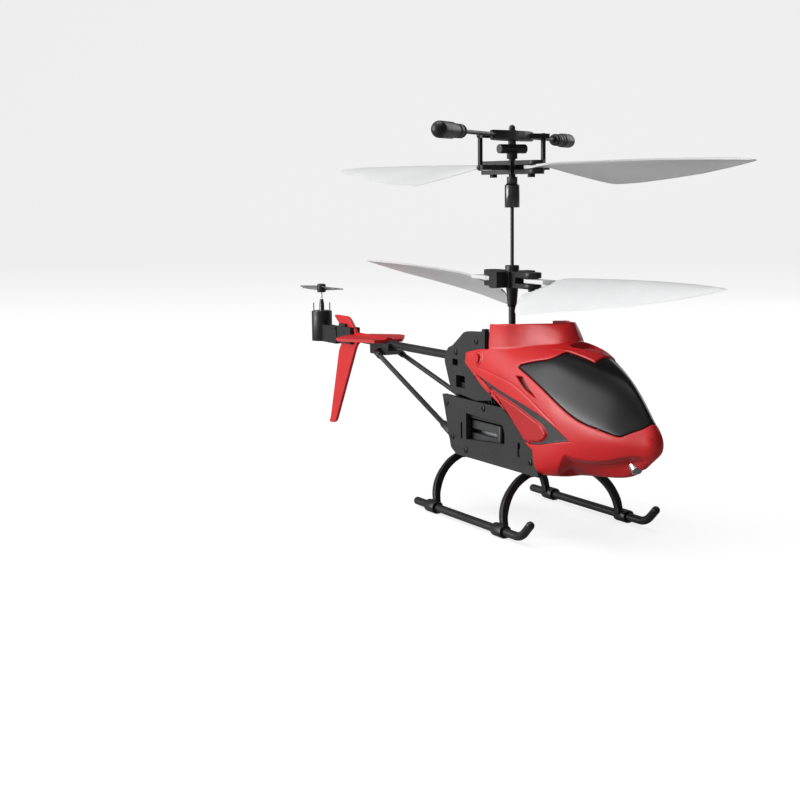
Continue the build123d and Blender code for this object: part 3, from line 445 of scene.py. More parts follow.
def offset(line, d, closed):
    """The line moved sideways over the surface by d mm, to its left."""
    g = np.maximum(np.linalg.norm(slopes(line[:, 0], line[:, 1])[1], axis=1), 0.15)
    flat = np.stack([line[:, 0], line[:, 1] * g.mean()], 1)
    if closed:
        before, after = np.roll(flat, 1, 0), np.roll(flat, -1, 0)
    else:
        before = np.vstack([2 * flat[:1] - flat[1:2], flat[:-1]])
        after = np.vstack([flat[1:], 2 * flat[-1:] - flat[-2:-1]])
    a, b = flat - before, after - flat
    a /= np.maximum(np.linalg.norm(a, axis=1), 1e-9)[:, None]
    b /= np.maximum(np.linalg.norm(b, axis=1), 1e-9)[:, None]
    na, nb = np.stack([-a[:, 1], a[:, 0]], 1), np.stack([-b[:, 1], b[:, 0]], 1)
    n = na + nb
    n /= np.maximum((n * na).sum(1), 0.35 * np.linalg.norm(n, axis=1) + 1e-9)[:, None]
    return np.stack([line[:, 0] + n[:, 0] * d, line[:, 1] + n[:, 1] * d / g], 1)


def within(loop, pts):
    """Which surface coordinates lie inside the loop."""
    x, y = pts[:, 0], pts[:, 1]
    hit = np.zeros(len(pts), bool)
    for (x0, y0), (x1, y1) in zip(loop, np.roll(loop, -1, 0)):
        if y0 != y1:
            hit ^= ((y0 > y) != (y1 > y)) & (x < (x1 - x0) * (y - y0) / (y1 - y0) + x0)
    return hit


def away(line, pts3, closed):
    """Distance in mm from each 3-D point to a surface line."""
    dense = line if not closed else np.vstack([line, line[:1]])
    t = np.arange(0, len(dense) - 1 + 1e-9, 0.25)
    i = np.minimum(t.astype(int), len(dense) - 2)
    fine = dense[i] + (dense[i + 1] - dense[i]) * (t - i)[:, None]
    f3 = hull(fine[:, 0], fine[:, 1])
    best = np.full(len(pts3), 1e9)
    for k in range(0, len(f3), 40):
        d = np.linalg.norm(pts3[:, None] - f3[None, k:k + 40], axis=2).min(1)
        best = np.minimum(best, d)
    return best


# the mast collar that rises out of the roof
def collar_size(z):
    wide = cubic([46.0, 52.0, 59.0], [12.4, 11.4, 10.0], np.atleast_1d(z))
    nose = cubic([46.0, 52.0, 59.0], [-38.5, -33.8, -29.6], np.atleast_1d(z))
    return wide, nose, -6.6 + (np.atleast_1d(z) - 49.2) * 0.133


def collar(s, z):
    """Right side of the collar: s runs from its rear end, 0, to its nose, 1."""
    s, z = np.atleast_1d(np.asarray(s, float)), np.atleast_1d(np.asarray(z, float))
    wide, nose, rear = collar_size(z)
    side = s < 0.3
    t = np.clip((s - 0.3) / 0.7, 0, 1)
    wx = cubic([0, 0.56, 1], np.eye(3), t, (True, False))
    wy = cubic([0, 0.56, 1], np.eye(3), t, (False, True))
    x = wx[:, 0] * wide + wx[:, 1] * wide * 0.58
    y = wy[:, 0] * -13.0 + wy[:, 1] * nose * 0.66 + wy[:, 2] * nose
    ys = rear + (-13.0 - rear) * s / 0.3
    x = np.where(side, wide + 0.3 * (ys + 13.0) / 16.0, x)
    return np.stack([-np.maximum(x, 0), np.where(side, ys, y), z], 1)


def even(points, count):
    """The polyline resampled to evenly spaced points."""
    run = np.concatenate([[0], np.cumsum(np.linalg.norm(np.diff(points[:, -3:], axis=0), axis=1))])
    at = np.linspace(0, run[-1], count)
    return np.stack([np.interp(at, run, points[:, k]) for k in range(points.shape[1])], 1)


FOOT = curve([seen(-6.4, 49.0), seen(-8.2, 49.0), seen(-15.7, 49.6), seen(-23.4, 50.8), seen(-28.2, 51.35),
              above(3.0, -32.0), (at_u(-33.8), 0.0)], gap=0.2)
FOOT = even(np.hstack([FOOT, hull(FOOT[:, 0], FOOT[:, 1])]), 100)[:, :2]

EDGE = curve([seen(-6.4, 49.0), seen(-6.0, 48.7), seen(4.8, 46.9), seen(4.8, 43.8), seen(1.9, 42.1),
              seen(-5.6, 37.7), seen(-18.1, 32.2), seen(-28.2, 24.9), seen(-31.2, 23.6), seen(-31.4, 17.4),
              (at_u(-31.2), BELLY)], (1, 2, 3, 4, 7, 8, 9))
GLASS_EDGE = curve([(at_u(-67.9), 0.0), seen(-66.2, 33.0), seen(-62.6, 31.2), seen(-61.2, 30.7),
                    seen(-59.6, 30.9), seen(-54.0, 32.1), seen(-49.4, 33.2), seen(-45.6, 34.8),
                    seen(-38.4, 38.5), seen(-28.4, 42.9), seen(-22.2, 45.0), seen(-22.7, 45.9),
                    seen(-28.4, 47.3), seen(-33.5, 48.5), above(5.4, -36.2), above(4.4, -42.0),
                    above(3.4, -46.7), (at_u(-47.3), 0.0)], (10, 11, 14, 16))
GLASS_LOOP = np.vstack([GLASS_EDGE, [[at_u(-47.8), -3.0], [at_u(-67.9), -3.0]]])
RECESS = traced([(1.4, 41.6), (-8.5, 39.6), (-26.0, 35.7), (-39.2, 31.9), (-46.4, 27.7), (-27.9, 25.1),
                 (-18.0, 32.0)], (0, 4, 5), True)
TONGUE = traced([(-2.9, 39.0), (-11.2, 37.3), (-24.3, 34.2), (-32.4, 31.7), (-36.2, 29.9), (-37.0, 28.5),
                 (-35.6, 26.9), (-31.6, 26.0), (-28.2, 25.5), (-17.9, 32.6)], (0, 7), True)
VENT = traced([(-21.9, 42.9), (-25.2, 42.9), (-33.4, 37.4), (-26.6, 39.6)], (0, 1, 2, 3), True)
GROOVE = traced([(-1.0, 43.2), (-10.0, 42.3), (-21.5, 40.4), (-31.0, 36.7), (-41.0, 31.6)])
KEEL = [(-44.0, 24.2), (-50.0, 23.3), (-55.1, 23.8), (-60.4, 25.2), (-65.0, 26.2), (-68.6, 27.1),
        (-70.3, 28.3)]
CREASE = traced([(-31.8, 23.9)] + KEEL, (1,))
FACET = traced([(-44.0, 24.2), (-38.0, 17.6)])
TUCK = np.vstack([traced(KEEL), [[0.0, BELLY]], [[at_u(-38.0), BELLY]], FACET[::-1][:-1]])
SCOOP = curve([(at_u(-44.6), 0.0), above(1.6, -44.2), above(2.6, -40.5), above(3.6, -36.6), above(3.4, -34.6),
               (at_u(-34.4), 0.0)], (1, 3, 4))
SCOOP_LOOP = np.vstack([SCOOP, [[at_u(-34.4), -2.0], [at_u(-44.6), -2.0]]])
SLOT = curve([(at_u(-38.6), 0.0), above(1.5, -38.2), above(2.5, -35.8), (at_u(-35.4), 0.0)], (1, 2))
SLOT_LOOP = np.vstack([SLOT, [[at_u(-35.4), -2.0], [at_u(-38.6), -2.0]]])
LIP = curve([above(6.0, -31.5), above(5.1, -36.2), above(4.1, -41.8), above(3.1, -46.2),
             (at_u(-46.8), 0.0)], (3,))
BOSS = (-2.6, 45.8)
BOSS_AT = hull(*[np.array([c]) for c in seen(*BOSS)])[0]


def ring(radius):
    """Circle round the boss that the canopy's peg sits in."""
    return np.array([seen(BOSS[0] + y, BOSS[1] + z) for y, z in circle(radius, 40)])


def lamp_loop(radius, steps=9):
    """Round hole in the underside of the nose, half of it on this side."""
    sideways, upward = Vector((-1, 0, 0)), Vector((0, -1, 1)).normalized()
    out = []
    u = np.linspace(at_u(-67), at_u(-56), 160)
    q = np.linspace(BELLY * 0.6, BELLY, 160)
    uu, qq = np.meshgrid(u, q, indexing="ij")
    pts = hull(uu.ravel(), qq.ravel())
    rel = pts - np.array((0, -60.3, 22.7))
    a, b = rel @ np.array(sideways), rel @ np.array(upward)
    for t in np.linspace(0, math.pi, steps + 1):
        i = int(np.argmin((a - radius * math.sin(t)) ** 2 + (b - radius * math.cos(t)) ** 2))
        out.append((uu.ravel()[i], qq.ravel()[i]))
    out[0], out[-1] = (out[0][0], BELLY), (out[-1][0], BELLY)
    return curve(out)


LAMP_EDGE = lamp_loop(1.95)
LAMP_LOOP = np.vstack([LAMP_EDGE, [[LAMP_EDGE[-1][0], BELLY + 2], [LAMP_EDGE[0][0], BELLY + 2]]])
WALL = 0.28               # run of the sloping wall round a recess


def relief(uq, p3):
    """How far the outer surface stands in (below 0) or out from the plain hull."""

    def level(line, run=WALL, closed=True):
        return step(away(line, p3, closed), 0.0, run)

    recess = within(RECESS, uq)
    d = -0.75 * level(RECESS) * recess
    d += 0.62 * level(TONGUE) * within(TONGUE, uq) * recess
    d -= 1.3 * level(VENT) * within(VENT, uq)
    d -= 0.10 * (1 - level(GROOVE, 0.30, False)) * ~recess
    depth = np.clip(np.minimum(away(CREASE, p3, False), away(FACET, p3, False)) / 3.2, 0.0, 1.0)
    fade = 1 - step(uq[:, 1], BELLY - 7.5, BELLY - 1.5)
    d -= 1.9 * depth * fade * within(TUCK, uq) * step(p3[:, 1], -69.5, -62.0)
    rim = np.linalg.norm(p3 - BOSS_AT, axis=1)
    d += 0.32 * step(rim, 0.85, 1.05) * (1 - step(rim, 1.75, 2.05)) - 0.25 * (1 - step(rim, 0.85, 1.05))
    d -= 1.5 * np.clip((p3[:, 1] + 44.6) / 9.0, 0, 1) * level(SCOOP, 0.4, False) * within(SCOOP_LOOP, uq)
    d -= 1.1 * level(SLOT, 0.3, False) * within(SLOT_LOOP, uq)
    return d + 0.14 * (1 - level(LIP, 0.4, False))


def lip(distance, reach=0.4, depth=0.28):
    """Rounding of the shell down to a cut edge."""
    t = 1 - np.clip(distance / reach, 0, 1)
    return -depth * (1 - np.sqrt(np.maximum(0.0, 1 - t * t)))


PITCH = 0.5               # size of the triangles between the lines


def net(edges, features):
    """Triangles over the whole half surface, as (u, q) points, with every line among their sides."""
    lines = []
    for line, closed in edges:
        lines += [(offset(line, d, closed) if d else line, closed) for d in (0, -0.14, 0.14, -0.42, 0.42)]
    for line, closed, gaps in features:
        lines.append((line, closed))
        lines += [(offset(line, d, closed), closed) for d in gaps]
    pts, links = [], []
    for line, closed in lines:
        line = line.copy()
        line[:, 0] = np.clip(line[:, 0], 0, SU[-1])
        line[:, 1] = np.clip(line[:, 1], 0, BELLY)
        at = len(pts)
        pts += [tuple(p) for p in line]
        links += [(at + i, at + i + 1) for i in range(len(line) - 1)]
        if closed:
            links.append((at + len(line) - 1, at))
    fixed = np.array(pts)
    grid = []
    rows = np.linspace(0.0, at_u(5.4), int(at_u(5.4) / PITCH))
    for i, u in enumerate(rows):
        around = hull(np.full(60, u), np.linspace(0, BELLY, 60))
        n = max(4, int(np.linalg.norm(np.diff(around, axis=0), axis=1).sum() / PITCH))
        shift = 0.5 if i % 2 else 0.0
        qs = np.concatenate([[0], (np.arange(1, n) - shift) * BELLY / n, [BELLY]])
        grid += [(u, q) for q in qs if q == 0 or q == BELLY or 0.15 < q < BELLY - 0.15]
    grid = np.array(grid)
    near = np.full(len(grid), 1e9)
    for k in range(0, len(fixed), 400):
        near = np.minimum(near, np.linalg.norm(grid[:, None] - fixed[None, k:k + 400], axis=2).min(1))
    grid = grid[(near > 0.17) | (grid[:, 1] <= 0) | (grid[:, 1] >= BELLY)]
    everything = [Vector(p) for p in pts] + [Vector(p) for p in grid]
    vs, _, fs, *_ = delaunay_2d_cdt(everything, links, [], 0, 1e-4)
    return np.array([tuple(v) for v in vs]), np.array([f for f in fs if len(f) == 3])


def skin(name, region, edges, features, mats, shade, drop, thick, nodes, extra=None):
    """Half the shell as a triangle net that follows the lines, mirrored, with a real thickness."""
    uq, tri = net(edges, features)
    mid = uq[tri].mean(1)
    kept = region(mid)
    tri, mid = tri[kept], mid[kept]
    used, tri = np.unique(tri, return_inverse=True)
    tri = tri.reshape(-1, 3)
    uq = uq[used]
    uq[:, 1] = np.clip(uq[:, 1], 0, BELLY)
    base = hull(uq[:, 0], uq[:, 1])
    d = drop(uq, base)
    for line, closed in edges:
        d += lip(away(line, base, closed))
    p3 = base + normal(uq[:, 0], uq[:, 1]) * d[:, None]
    p3[(uq[:, 1] <= 0) | (uq[:, 1] >= BELLY) | (uq[:, 0] <= 0), 0] = 0
    verts, faces, marks = list(p3), list(tri), list(shade(mid, hull(mid[:, 0], mid[:, 1])))
    if extra:
        ev, ef, em = extra()
        at = len(verts)
        verts += list(ev)
        faces += [tuple(i + at for i in f) for f in ef]
        marks += em
    half = len(verts)
    verts += [(-x, y, z) for x, y, z in verts]
    faces += [tuple(i + half for i in reversed(tuple(f))) for f in faces]
    marks += marks
    ob = make(name, verts, faces, mats, "airframe", nodes, marks)
    bm = bmesh.new()
    bm.from_mesh(ob.data)
    bmesh.ops.remove_doubles(bm, verts=bm.verts, dist=0.06 * MM)
    bmesh.ops.dissolve_degenerate(bm, dist=0.004 * MM, edges=bm.edges)
    bm.to_mesh(ob.data)
    bm.free()
    wall = ob.modifiers.new("wall", "SOLIDIFY")
    wall.thickness, wall.offset = thick * MM, -1.0
    # The inner side takes the last material; for the canopy that is the dark red painted shade of its inside
    wall.material_offset = len(mats) - 1
    wall.use_quality_normals = True


def keep_glass(mid):
    return within(GLASS_LOOP, mid)


def keep_canopy(mid):
    past = SU[-1] + 5
    rear = np.vstack([EDGE, [[past, BELLY + 5], [past, -5.0], [FOOT[0][0], -5.0]]])
    foot = np.vstack([FOOT, [[FOOT[-1][0], -5.0], [past, -5.0], [past, FOOT[0][1] - 3]]])
    return ~keep_glass(mid) & ~within(rear, mid) & ~within(foot, mid) & ~within(LAMP_LOOP, mid)


def shade_canopy(mid, p3):
    """Material of each triangle: 0 red, 1 panel, 2 slot painted black as painted shade, 3 tongue and the nose
    underside darkened as painted shade, 4 vent interior darkened as painted shade.
    """
    floor = within(RECESS, mid) & ~within(TONGUE, mid) & (away(RECESS, p3, True) > WALL * 0.55)
    floor &= (away(TONGUE, p3, True) > WALL * 0.2)
    # Painted shade: the vent's inside takes the dark red
    vent = within(VENT, mid) & (away(VENT, p3, True) > WALL * 0.5)
    # Painted shade: the scoop's shallow slot is painted black so that it reads as a dark opening
    dark = within(SLOT_LOOP, mid) & (away(SLOT, p3, False) > 0.15)
    tongue = within(TONGUE, mid) & within(RECESS, mid) & (away(TONGUE, p3, True) > WALL)
    # Painted shade: the nose underside below the crease takes the darker tongue red
    under_painted_shade = within(TUCK, mid) & (mid[:, 0] > at_u(-66.0))
    return np.select([floor, dark, vent, tongue | under_painted_shade], [1, 2, 4, 3], 0)


def add_collar():
    """The collar's wall from its foot on the roof up to the rim, hollow-sided and a little flared."""
    rows, n = 14, len(FOOT)
    s = np.linspace(0, 1, 300)
    rim = collar(s, np.full(300, 56.0))
    rim[:, 2] = 54.85 + (5.0 - rim[:, 1]) / 50.0 * 3.2
    rim = even(rim, n)
    foot = hull(FOOT[:, 0], FOOT[:, 1])
    foot = foot + normal(FOOT[:, 0], FOOT[:, 1]) * relief(FOOT, foot)[:, None]
    verts = []
    for j in range(rows + 1):
        t = j / rows
        side = t ** 1.35
        pts = foot + (rim - foot) * np.array([side, side, t])
        pts[-1, 0] = 0
        verts += list(pts)
    faces = [(j * n + i, j * n + i + 1, (j + 1) * n + i + 1, (j + 1) * n + i)
             for j in range(rows) for i in range(n - 1)]
    return verts, faces, [0] * len(faces)


SLOPE = (WALL, WALL / 2, -WALL, -WALL / 2)
CANOPY_LINES = [(FOOT, False, ()), (RECESS, True, SLOPE), (TONGUE, True, SLOPE), (VENT, True, SLOPE),
                (GROOVE, False, (-0.3, -0.15, 0.15, 0.3)), (CREASE, False, ()), (FACET, False, (-0.5, 0.5))]
CANOPY_LINES += [(ring(radius), True, ()) for radius in (0.85, 1.05, 1.75, 2.05)]
CANOPY_LINES += [(SCOOP, False, (-0.4, -0.2, 0.2, 0.4)), (SLOT, False, (-0.3, 0.3)),
                 (LIP, False, (-0.4, -0.2, 0.2, 0.4))]
skin("canopy_shell", keep_canopy, [(EDGE, False), (GLASS_EDGE, False), (LAMP_EDGE, False)], CANOPY_LINES,
     [RED, PANEL, BLACK, TONGUE_AND_UNDER_SHADE_RED, PAINTED_SHADE_RED], shade_canopy, relief, 0.85, ("canopy",),
     add_collar)
skin("windshield_shell", keep_glass, [(GLASS_EDGE, False)], [], [GLASS, BLACK],
     lambda mid, p3: np.zeros(len(mid), int), lambda uq, p3: np.full(len(uq), -0.20), 0.7,
     ("windshield",))

# ---------------- nose lamp
LAMP_AXIS = np.array((0, -1, -1)) / math.sqrt(2)
LAMP_AT = np.array((0, -59.6, 23.4))
pile = Pile()
lathe(rounded([(-1.0, 1.75), (2.5, 1.75), (2.5, 1.45), (1.2, 1.1), (0.6, 0.5)], 0.12), LAMP_AT, LAMP_AXIS, 40,
      pile, 1)
lathe([(0.5, 1.05), (0.9, 1.1), (1.5, 1.28), (2.1, 1.36)], LAMP_AT, LAMP_AXIS, 40, pile, 1)
pile.make("lamp_socket", [BLACK, CHROME], "airframe", ("nose_lamp",), "black_plastic")
dome = [(2.2 + 1.25 * math.sin(k), 1.3 * math.cos(k)) for k in np.linspace(0, math.pi / 2, 9)]
pile = Pile()
lathe([(1.3, 1.2)] + dome, LAMP_AT, LAMP_AXIS, 40, pile)
pile.make("lamp_lens", [LAMP], "airframe", (), "lamp_clear", 60)


# ---------------- blades
def out_at(turn, reach, z, across=0.0):
    """The point that far out from the mast, and across, in the direction `turn` degrees."""
    a = math.radians(turn)
    c, s = math.cos(a), math.sin(a)
    return np.array((reach * c - across * s, reach * s + across * c, z))


def tube(rings, n):
    """Faces of a closed skin over a row of rings of n points each, capped at both ends."""
    faces = [(i * n + k, i * n + (k + 1) % n, (i + 1) * n + (k + 1) % n, (i + 1) * n + k)
             for i in range(rings - 1) for k in range(n)]
    return faces + [tuple(reversed(range(n))), tuple(range((rings - 1) * n, rings * n))]


BLADE_THICK = 0.8
CAMBER = 0.6
ACROSS = 13               # points across one face of a blade


def blade_mesh(rows, turn, plate, along, pile):
    """Thin aerofoil blade: rows are (distance from the mast, leading (side, z), trailing (side, z))."""
    r = np.array([row[0] for row in rows])
    lead, trail = np.array([row[1] for row in rows], float), np.array([row[2] for row in rows], float)
    s = np.linspace(r[0], r[-1], along)

    def soft(v):
        v = np.stack([np.interp(s, r, v[:, k]) for k in range(2)], 1)
        for _ in range(16):
            v[1:-1] = (v[:-2] + 2 * v[1:-1] + v[2:]) / 4
        return v

    lead, trail = soft(lead), soft(trail)
    t = (1 - np.cos(np.linspace(0, math.pi, ACROSS))) / 2
    out, aside, up = out_at(turn, 1, 0), out_at(turn, 0, 0, 1), np.array(UP)
    half = (BLADE_THICK / 2) * (0.35 + 1.9 * np.sqrt(t) * (1 - t) ** 0.8) * (1 - 0.55 * t)
    half[0], half[-1] = 0.10, 0.06
    verts, n = [], 2 * ACROSS - 2
    for i, dist in enumerate(s):
        chord = trail[i] - lead[i]
        width = math.hypot(*chord)
        nrm = np.array((-chord[1], chord[0])) / max(width, 1e-6)
        if nrm[1] < 0:
            nrm = -nrm
        size = min(1.0, width / 9.0)
        root = (1 - step(dist, r[0], r[0] + 5.0)) * plate
        hump = CAMBER * 4 * t * (1 - t) * size * (1 - root)
        body = half * (0.35 + 0.65 * size) * (1 - root) + 0.47 * root
        end = max(0.12, min(1.0, (s[-1] - dist) / 1.6) ** 0.5)
        tops = [lead[i] + chord * k + nrm * (h + b * end) for k, h, b in zip(t, hump, body)]
        lows = [lead[i] + chord * k + nrm * (h - b * end) for k, h, b in zip(t, hump, body)][1:-1][::-1]
        verts += [out * dist + aside * p[0] + up * p[1] for p in tops + lows]
    faces = tube(len(s), n)
    flip = trail[len(s) // 2][0] > lead[len(s) // 2][0]
    pile.add(verts, [f[::-1] for f in faces] if flip else faces)


# rows of (distance from the mast, leading (side, z), trailing (side, z))
UPPER = [(9.6, (-2.05, 98.9), (2.05, 98.9)), (14.0, (-2.1, 98.95), (2.1, 98.85)),
         (16.2, (-2.6, 99.3), (4.4, 97.7)), (22.8, (-3.2, 99.8), (17.8, 93.8)),
         (35.2, (-3.6, 99.9), (16.8, 94.2)), (50.4, (-3.6, 100.0), (14.4, 95.2)),
         (65.6, (-3.4, 100.0), (11.2, 96.3)), (79.8, (-2.8, 99.8), (7.2, 97.7)),
         (90.3, (-1.9, 99.5), (3.2, 98.7)), (95.0, (-0.7, 99.3), (0.7, 99.1))]
LOWER = [(11.0, (-2.9, 63.9), (-4.4, 62.7)), (13.4, (-2.9, 64.0), (-7.4, 60.4)),
         (15.4, (-2.7, 64.2), (-9.4, 58.9)), (16.6, (-1.8, 65.0), (-9.8, 58.5)),
         (17.6, (0.2, 66.6), (-9.9, 58.4)), (18.8, (2.2, 67.9), (-10.0, 58.5)),
         (21.5, (3.1, 68.5), (-10.1, 58.9)), (35.2, (3.4, 69.0), (-10.8, 60.6)),
         (52.3, (3.4, 69.5), (-11.3, 62.2)), (66.5, (3.2, 69.7), (-9.9, 63.8)),
         (79.8, (2.7, 69.7), (-6.0, 65.9)), (89.3, (1.8, 69.6), (-2.9, 67.8)),
         (95.0, (0.6, 69.5), (-0.7, 69.1))]


def disc(at, radius, half, hole, pile):
    """Round boss on an upright axis with a hole through it and rounded rims."""
    b = min(0.18, half * 0.4)
    wall = [(hole, -half), (radius - b, -half), (radius - b * 0.3, -half + b * 0.3), (radius, -half + b),
            (radius, half - b), (radius - b * 0.3, half - b * 0.3), (radius - b, half), (hole, half)]
    steps, n = 40, len(wall)
    verts = [np.asarray(at) + np.array((r * c, r * s, z)) for c, s in circle(1.0, steps) for r, z in wall]
    faces = []
    for k in range(steps):
        here, after = k * n, (k + 1) % steps * n
        faces += [(here + j, after + j, after + (j + 1) % n, here + (j + 1) % n) for j in range(n)]
    pile.add(verts, faces)


def bar(a, b, up, half_w, half_h, bevel, pile):
    """Straight bar between two points with rounded edges all round."""
    a, b = np.asarray(a, float), np.asarray(b, float)
    d = (b - a) / np.linalg.norm(b - a)
    w = np.cross(up, d)
    w /= np.linalg.norm(w)
    h = np.cross(d, w)
    side = [(half_w - bevel, half_h), (half_w - bevel * 0.3, half_h - bevel * 0.3), (half_w, half_h - bevel)]
    end = [(half_w - bevel, half_h - bevel)] * 3
    verts = []
    for at, corner in ((a, end), (a + d * bevel * 0.3, side), (a + d * bevel, side), (b - d * bevel, side),
                       (b - d * bevel * 0.3, side), (b, end)):
        loop = corner + [(x, -z) for x, z in corner[::-1]]
        loop += [(-x, -z) for x, z in corner] + [(-x, z) for x, z in corner[::-1]]
        verts += [at + w * x + h * z for x, z in loop]
    pile.add(verts, [f[::-1] for f in tube(6, 12)])


for word, turn in (("front", -85.0), ("rear", 95.0)):
    pile = Pile()
    blade_mesh(UPPER, turn, 1.0, 169, pile)
    disc(out_at(turn, 9.0, 98.9), 2.1, 0.5, 0.56, pile)
    for k in range(3):
        bar(out_at(turn, 13.2 + 0.9 * k, 99.45, -1.5 + 0.1 * k),
            out_at(turn, 17.5 + 1.2 * k, 99.75 - 0.7 * k, -1.2 + 2.0 * k), UP, 0.16, 0.14, 0.05, pile)
    pile.make("upper_blade_" + word + "_foil", [BLADE], "upper_" + word + "_blade", ("upper_blade_" + word,),
              "blade_clear", 50)
for word, turn in (("front", -90.0), ("rear", 90.0)):
    pile = Pile()
    blade_mesh(LOWER, turn, 0.25, 90, pile)
    disc(out_at(turn, 10.4, 67.4), 2.2, 0.6, 0.56, pile)
    bar(out_at(turn, 11.2, 67.4), out_at(turn, 19.6, 67.4), UP, 2.15, 0.55, 0.15, pile)
    for k in range(3):
        bar(out_at(turn, 17.2 + 0.5 * k, 66.2 - 1.9 * k, -0.8 - 2.4 * k),
            out_at(turn, 24.5 - k, 66.9 - 1.9 * k, -0.6 - 2.4 * k), UP, 0.16, 0.16, 0.05, pile)
    pile.make("lower_blade_" + word + "_foil", [BLADE], "lower_" + word + "_blade", ("lower_blade_" + word,),
              "blade_clear", 50)

# ---------------- flybar weights
weight = [(43.5, 0.56), (43.5, 1.1), (44.2, 1.35), (45.3, 1.45), (45.5, 1.78), (46.3, 1.85), (46.5, 1.6),
          (47.4, 1.6), (47.6, 1.85), (49.4, 1.85), (49.6, 1.62), (50.4, 1.62), (50.6, 1.88), (52.8, 1.88),
          (53.0, 2.12), (58.0, 2.15), (61.85, 2.15)]
weight = rounded(weight, 0.14) + [(61.85 + 2.15 * math.sin(k), 2.15 * math.cos(k))
                                  for k in np.linspace(0, math.pi / 2, 9)[1:-1]] + [(64.0, 0.0)]
pile = Pile()
for turn in (42.0, 222.0):
    lathe(weight, (0, 0, 107.7), out_at(turn, 1, 0), 44, pile)
pile.make("flybar_weight_pair", [BLACK], "flybar", ("flybar_weights",), "black_plastic", 50)


# ---------------- screws
def screw(at, axis, radius, height, pile):
    """Pan head with a cross recess, its seat at `at`."""
    steps = 32
    rows = [(radius, 0.0), (radius, height * 0.45), (radius * 0.9, height * 0.8), (radius * 0.72, height)]
    verts = [(x, y, z) for r, z in rows for x, y in circle(r, steps)]
    faces = tube(len(rows), steps)[:-1]
    arm, half, deep = radius * 0.6, radius * 0.13, height * 0.45
    corner = [(arm, -half), (arm, half), (half, half)]
    cross = corner + [(-y, x) for x, y in corner]
    cross += [(-x, -y) for x, y in cross]
    count = len(cross)
    top, rim = len(verts) - steps, len(verts)
    floor = rim + count
    verts += [(x, y, height) for x, y in cross] + [(x * 0.85, y * 0.85, deep) for x, y in cross]
    angles = [math.degrees(math.atan2(y, x)) % 360 for x, y in cross]
    order = sorted(range(count), key=lambda k: angles[k])
    i = j = 0
    while i < steps or j < count:           # triangles between the head's rim and the recess
        outer = 360.0 * i / steps if i < steps else math.inf
        inner = angles[order[j]] if j < count else math.inf
        last, here = rim + order[j - 1], rim + order[j % count]
        if outer <= inner:
            faces.append((top + i, top + (i + 1) % steps, here if outer == inner else last))
            i += 1
        else:
            faces.append((last, top + i % steps, here))
            j += 1
    faces += [(rim + k, rim + (k + 1) % count, floor + (k + 1) % count, floor + k) for k in range(count)]
    faces.append(tuple(range(floor, floor + count)))
    pile.add(np.asarray(verts) @ axes(axis).T + np.asarray(at, float), faces)


# ---------------- fin
def smooth_loop(loop, cut):
    """The closed outline with its corners rounded off."""
    p = np.asarray(loop, float)
    for _ in range(2):
        n = np.roll(p, -1, 0)
        run = np.linalg.norm(n - p, axis=1)[:, None]
        t = np.minimum(cut / run, 0.25)
        p = np.stack([p + (n - p) * t, n + (p - n) * t], 1).reshape(-1, 2)
    return p


FIN = [(119.6, 11.6), (121.8, 10.7), (125.2, 10.7), (123.8, 12.4), (115.8, 37.6), (113.3, 40.2),
       (113.5, 44.4), (115.6, 46.8), (119.3, 49.0), (118.8, 49.5), (108.9, 49.5), (106.6, 48.5),
       (101.6, 44.0), (101.0, 40.8), (102.6, 39.4)]
FIN_HALF = 0.55           # half its thickness


def round_edges(ob, name, width, segments, angle):
    bevel = ob.modifiers.new(name, "BEVEL")
    bevel.width, bevel.segments, bevel.harden_normals = width * MM, segments, True
    bevel.limit_method, bevel.angle_limit = "ANGLE", math.radians(angle)


loop = smooth_loop(FIN, 0.8)
verts = [(x, y, z) for x in (-FIN_HALF, FIN_HALF) for y, z in loop]
fin_blade = make("fin_blade", verts, tube(2, len(loop)), [RED], "airframe", ("fin",))
round_edges(fin_blade, "edge", 0.28, 4, 50)
pile = Pile()
bar((0, 103.6, 43.1), (0, 114.6, 43.1), UP, 1.9, 2.9, 0.35, pile)
bar((0, 108.8, 45.4), (0, 113.8, 45.4), UP, 1.5, 1.5, 0.35, pile)
for hand in (-1, 1):
    screw((hand * 1.85, 106.2, 43.1), (hand, 0, 0), 0.95, 0.35, pile)
    screw((hand * 1.45, 112.0, 45.7), (hand, 0, 0), 0.8, 0.3, pile)
pile.make("fin_sleeve", [BLACK], "airframe", (), "black_plastic", 40)

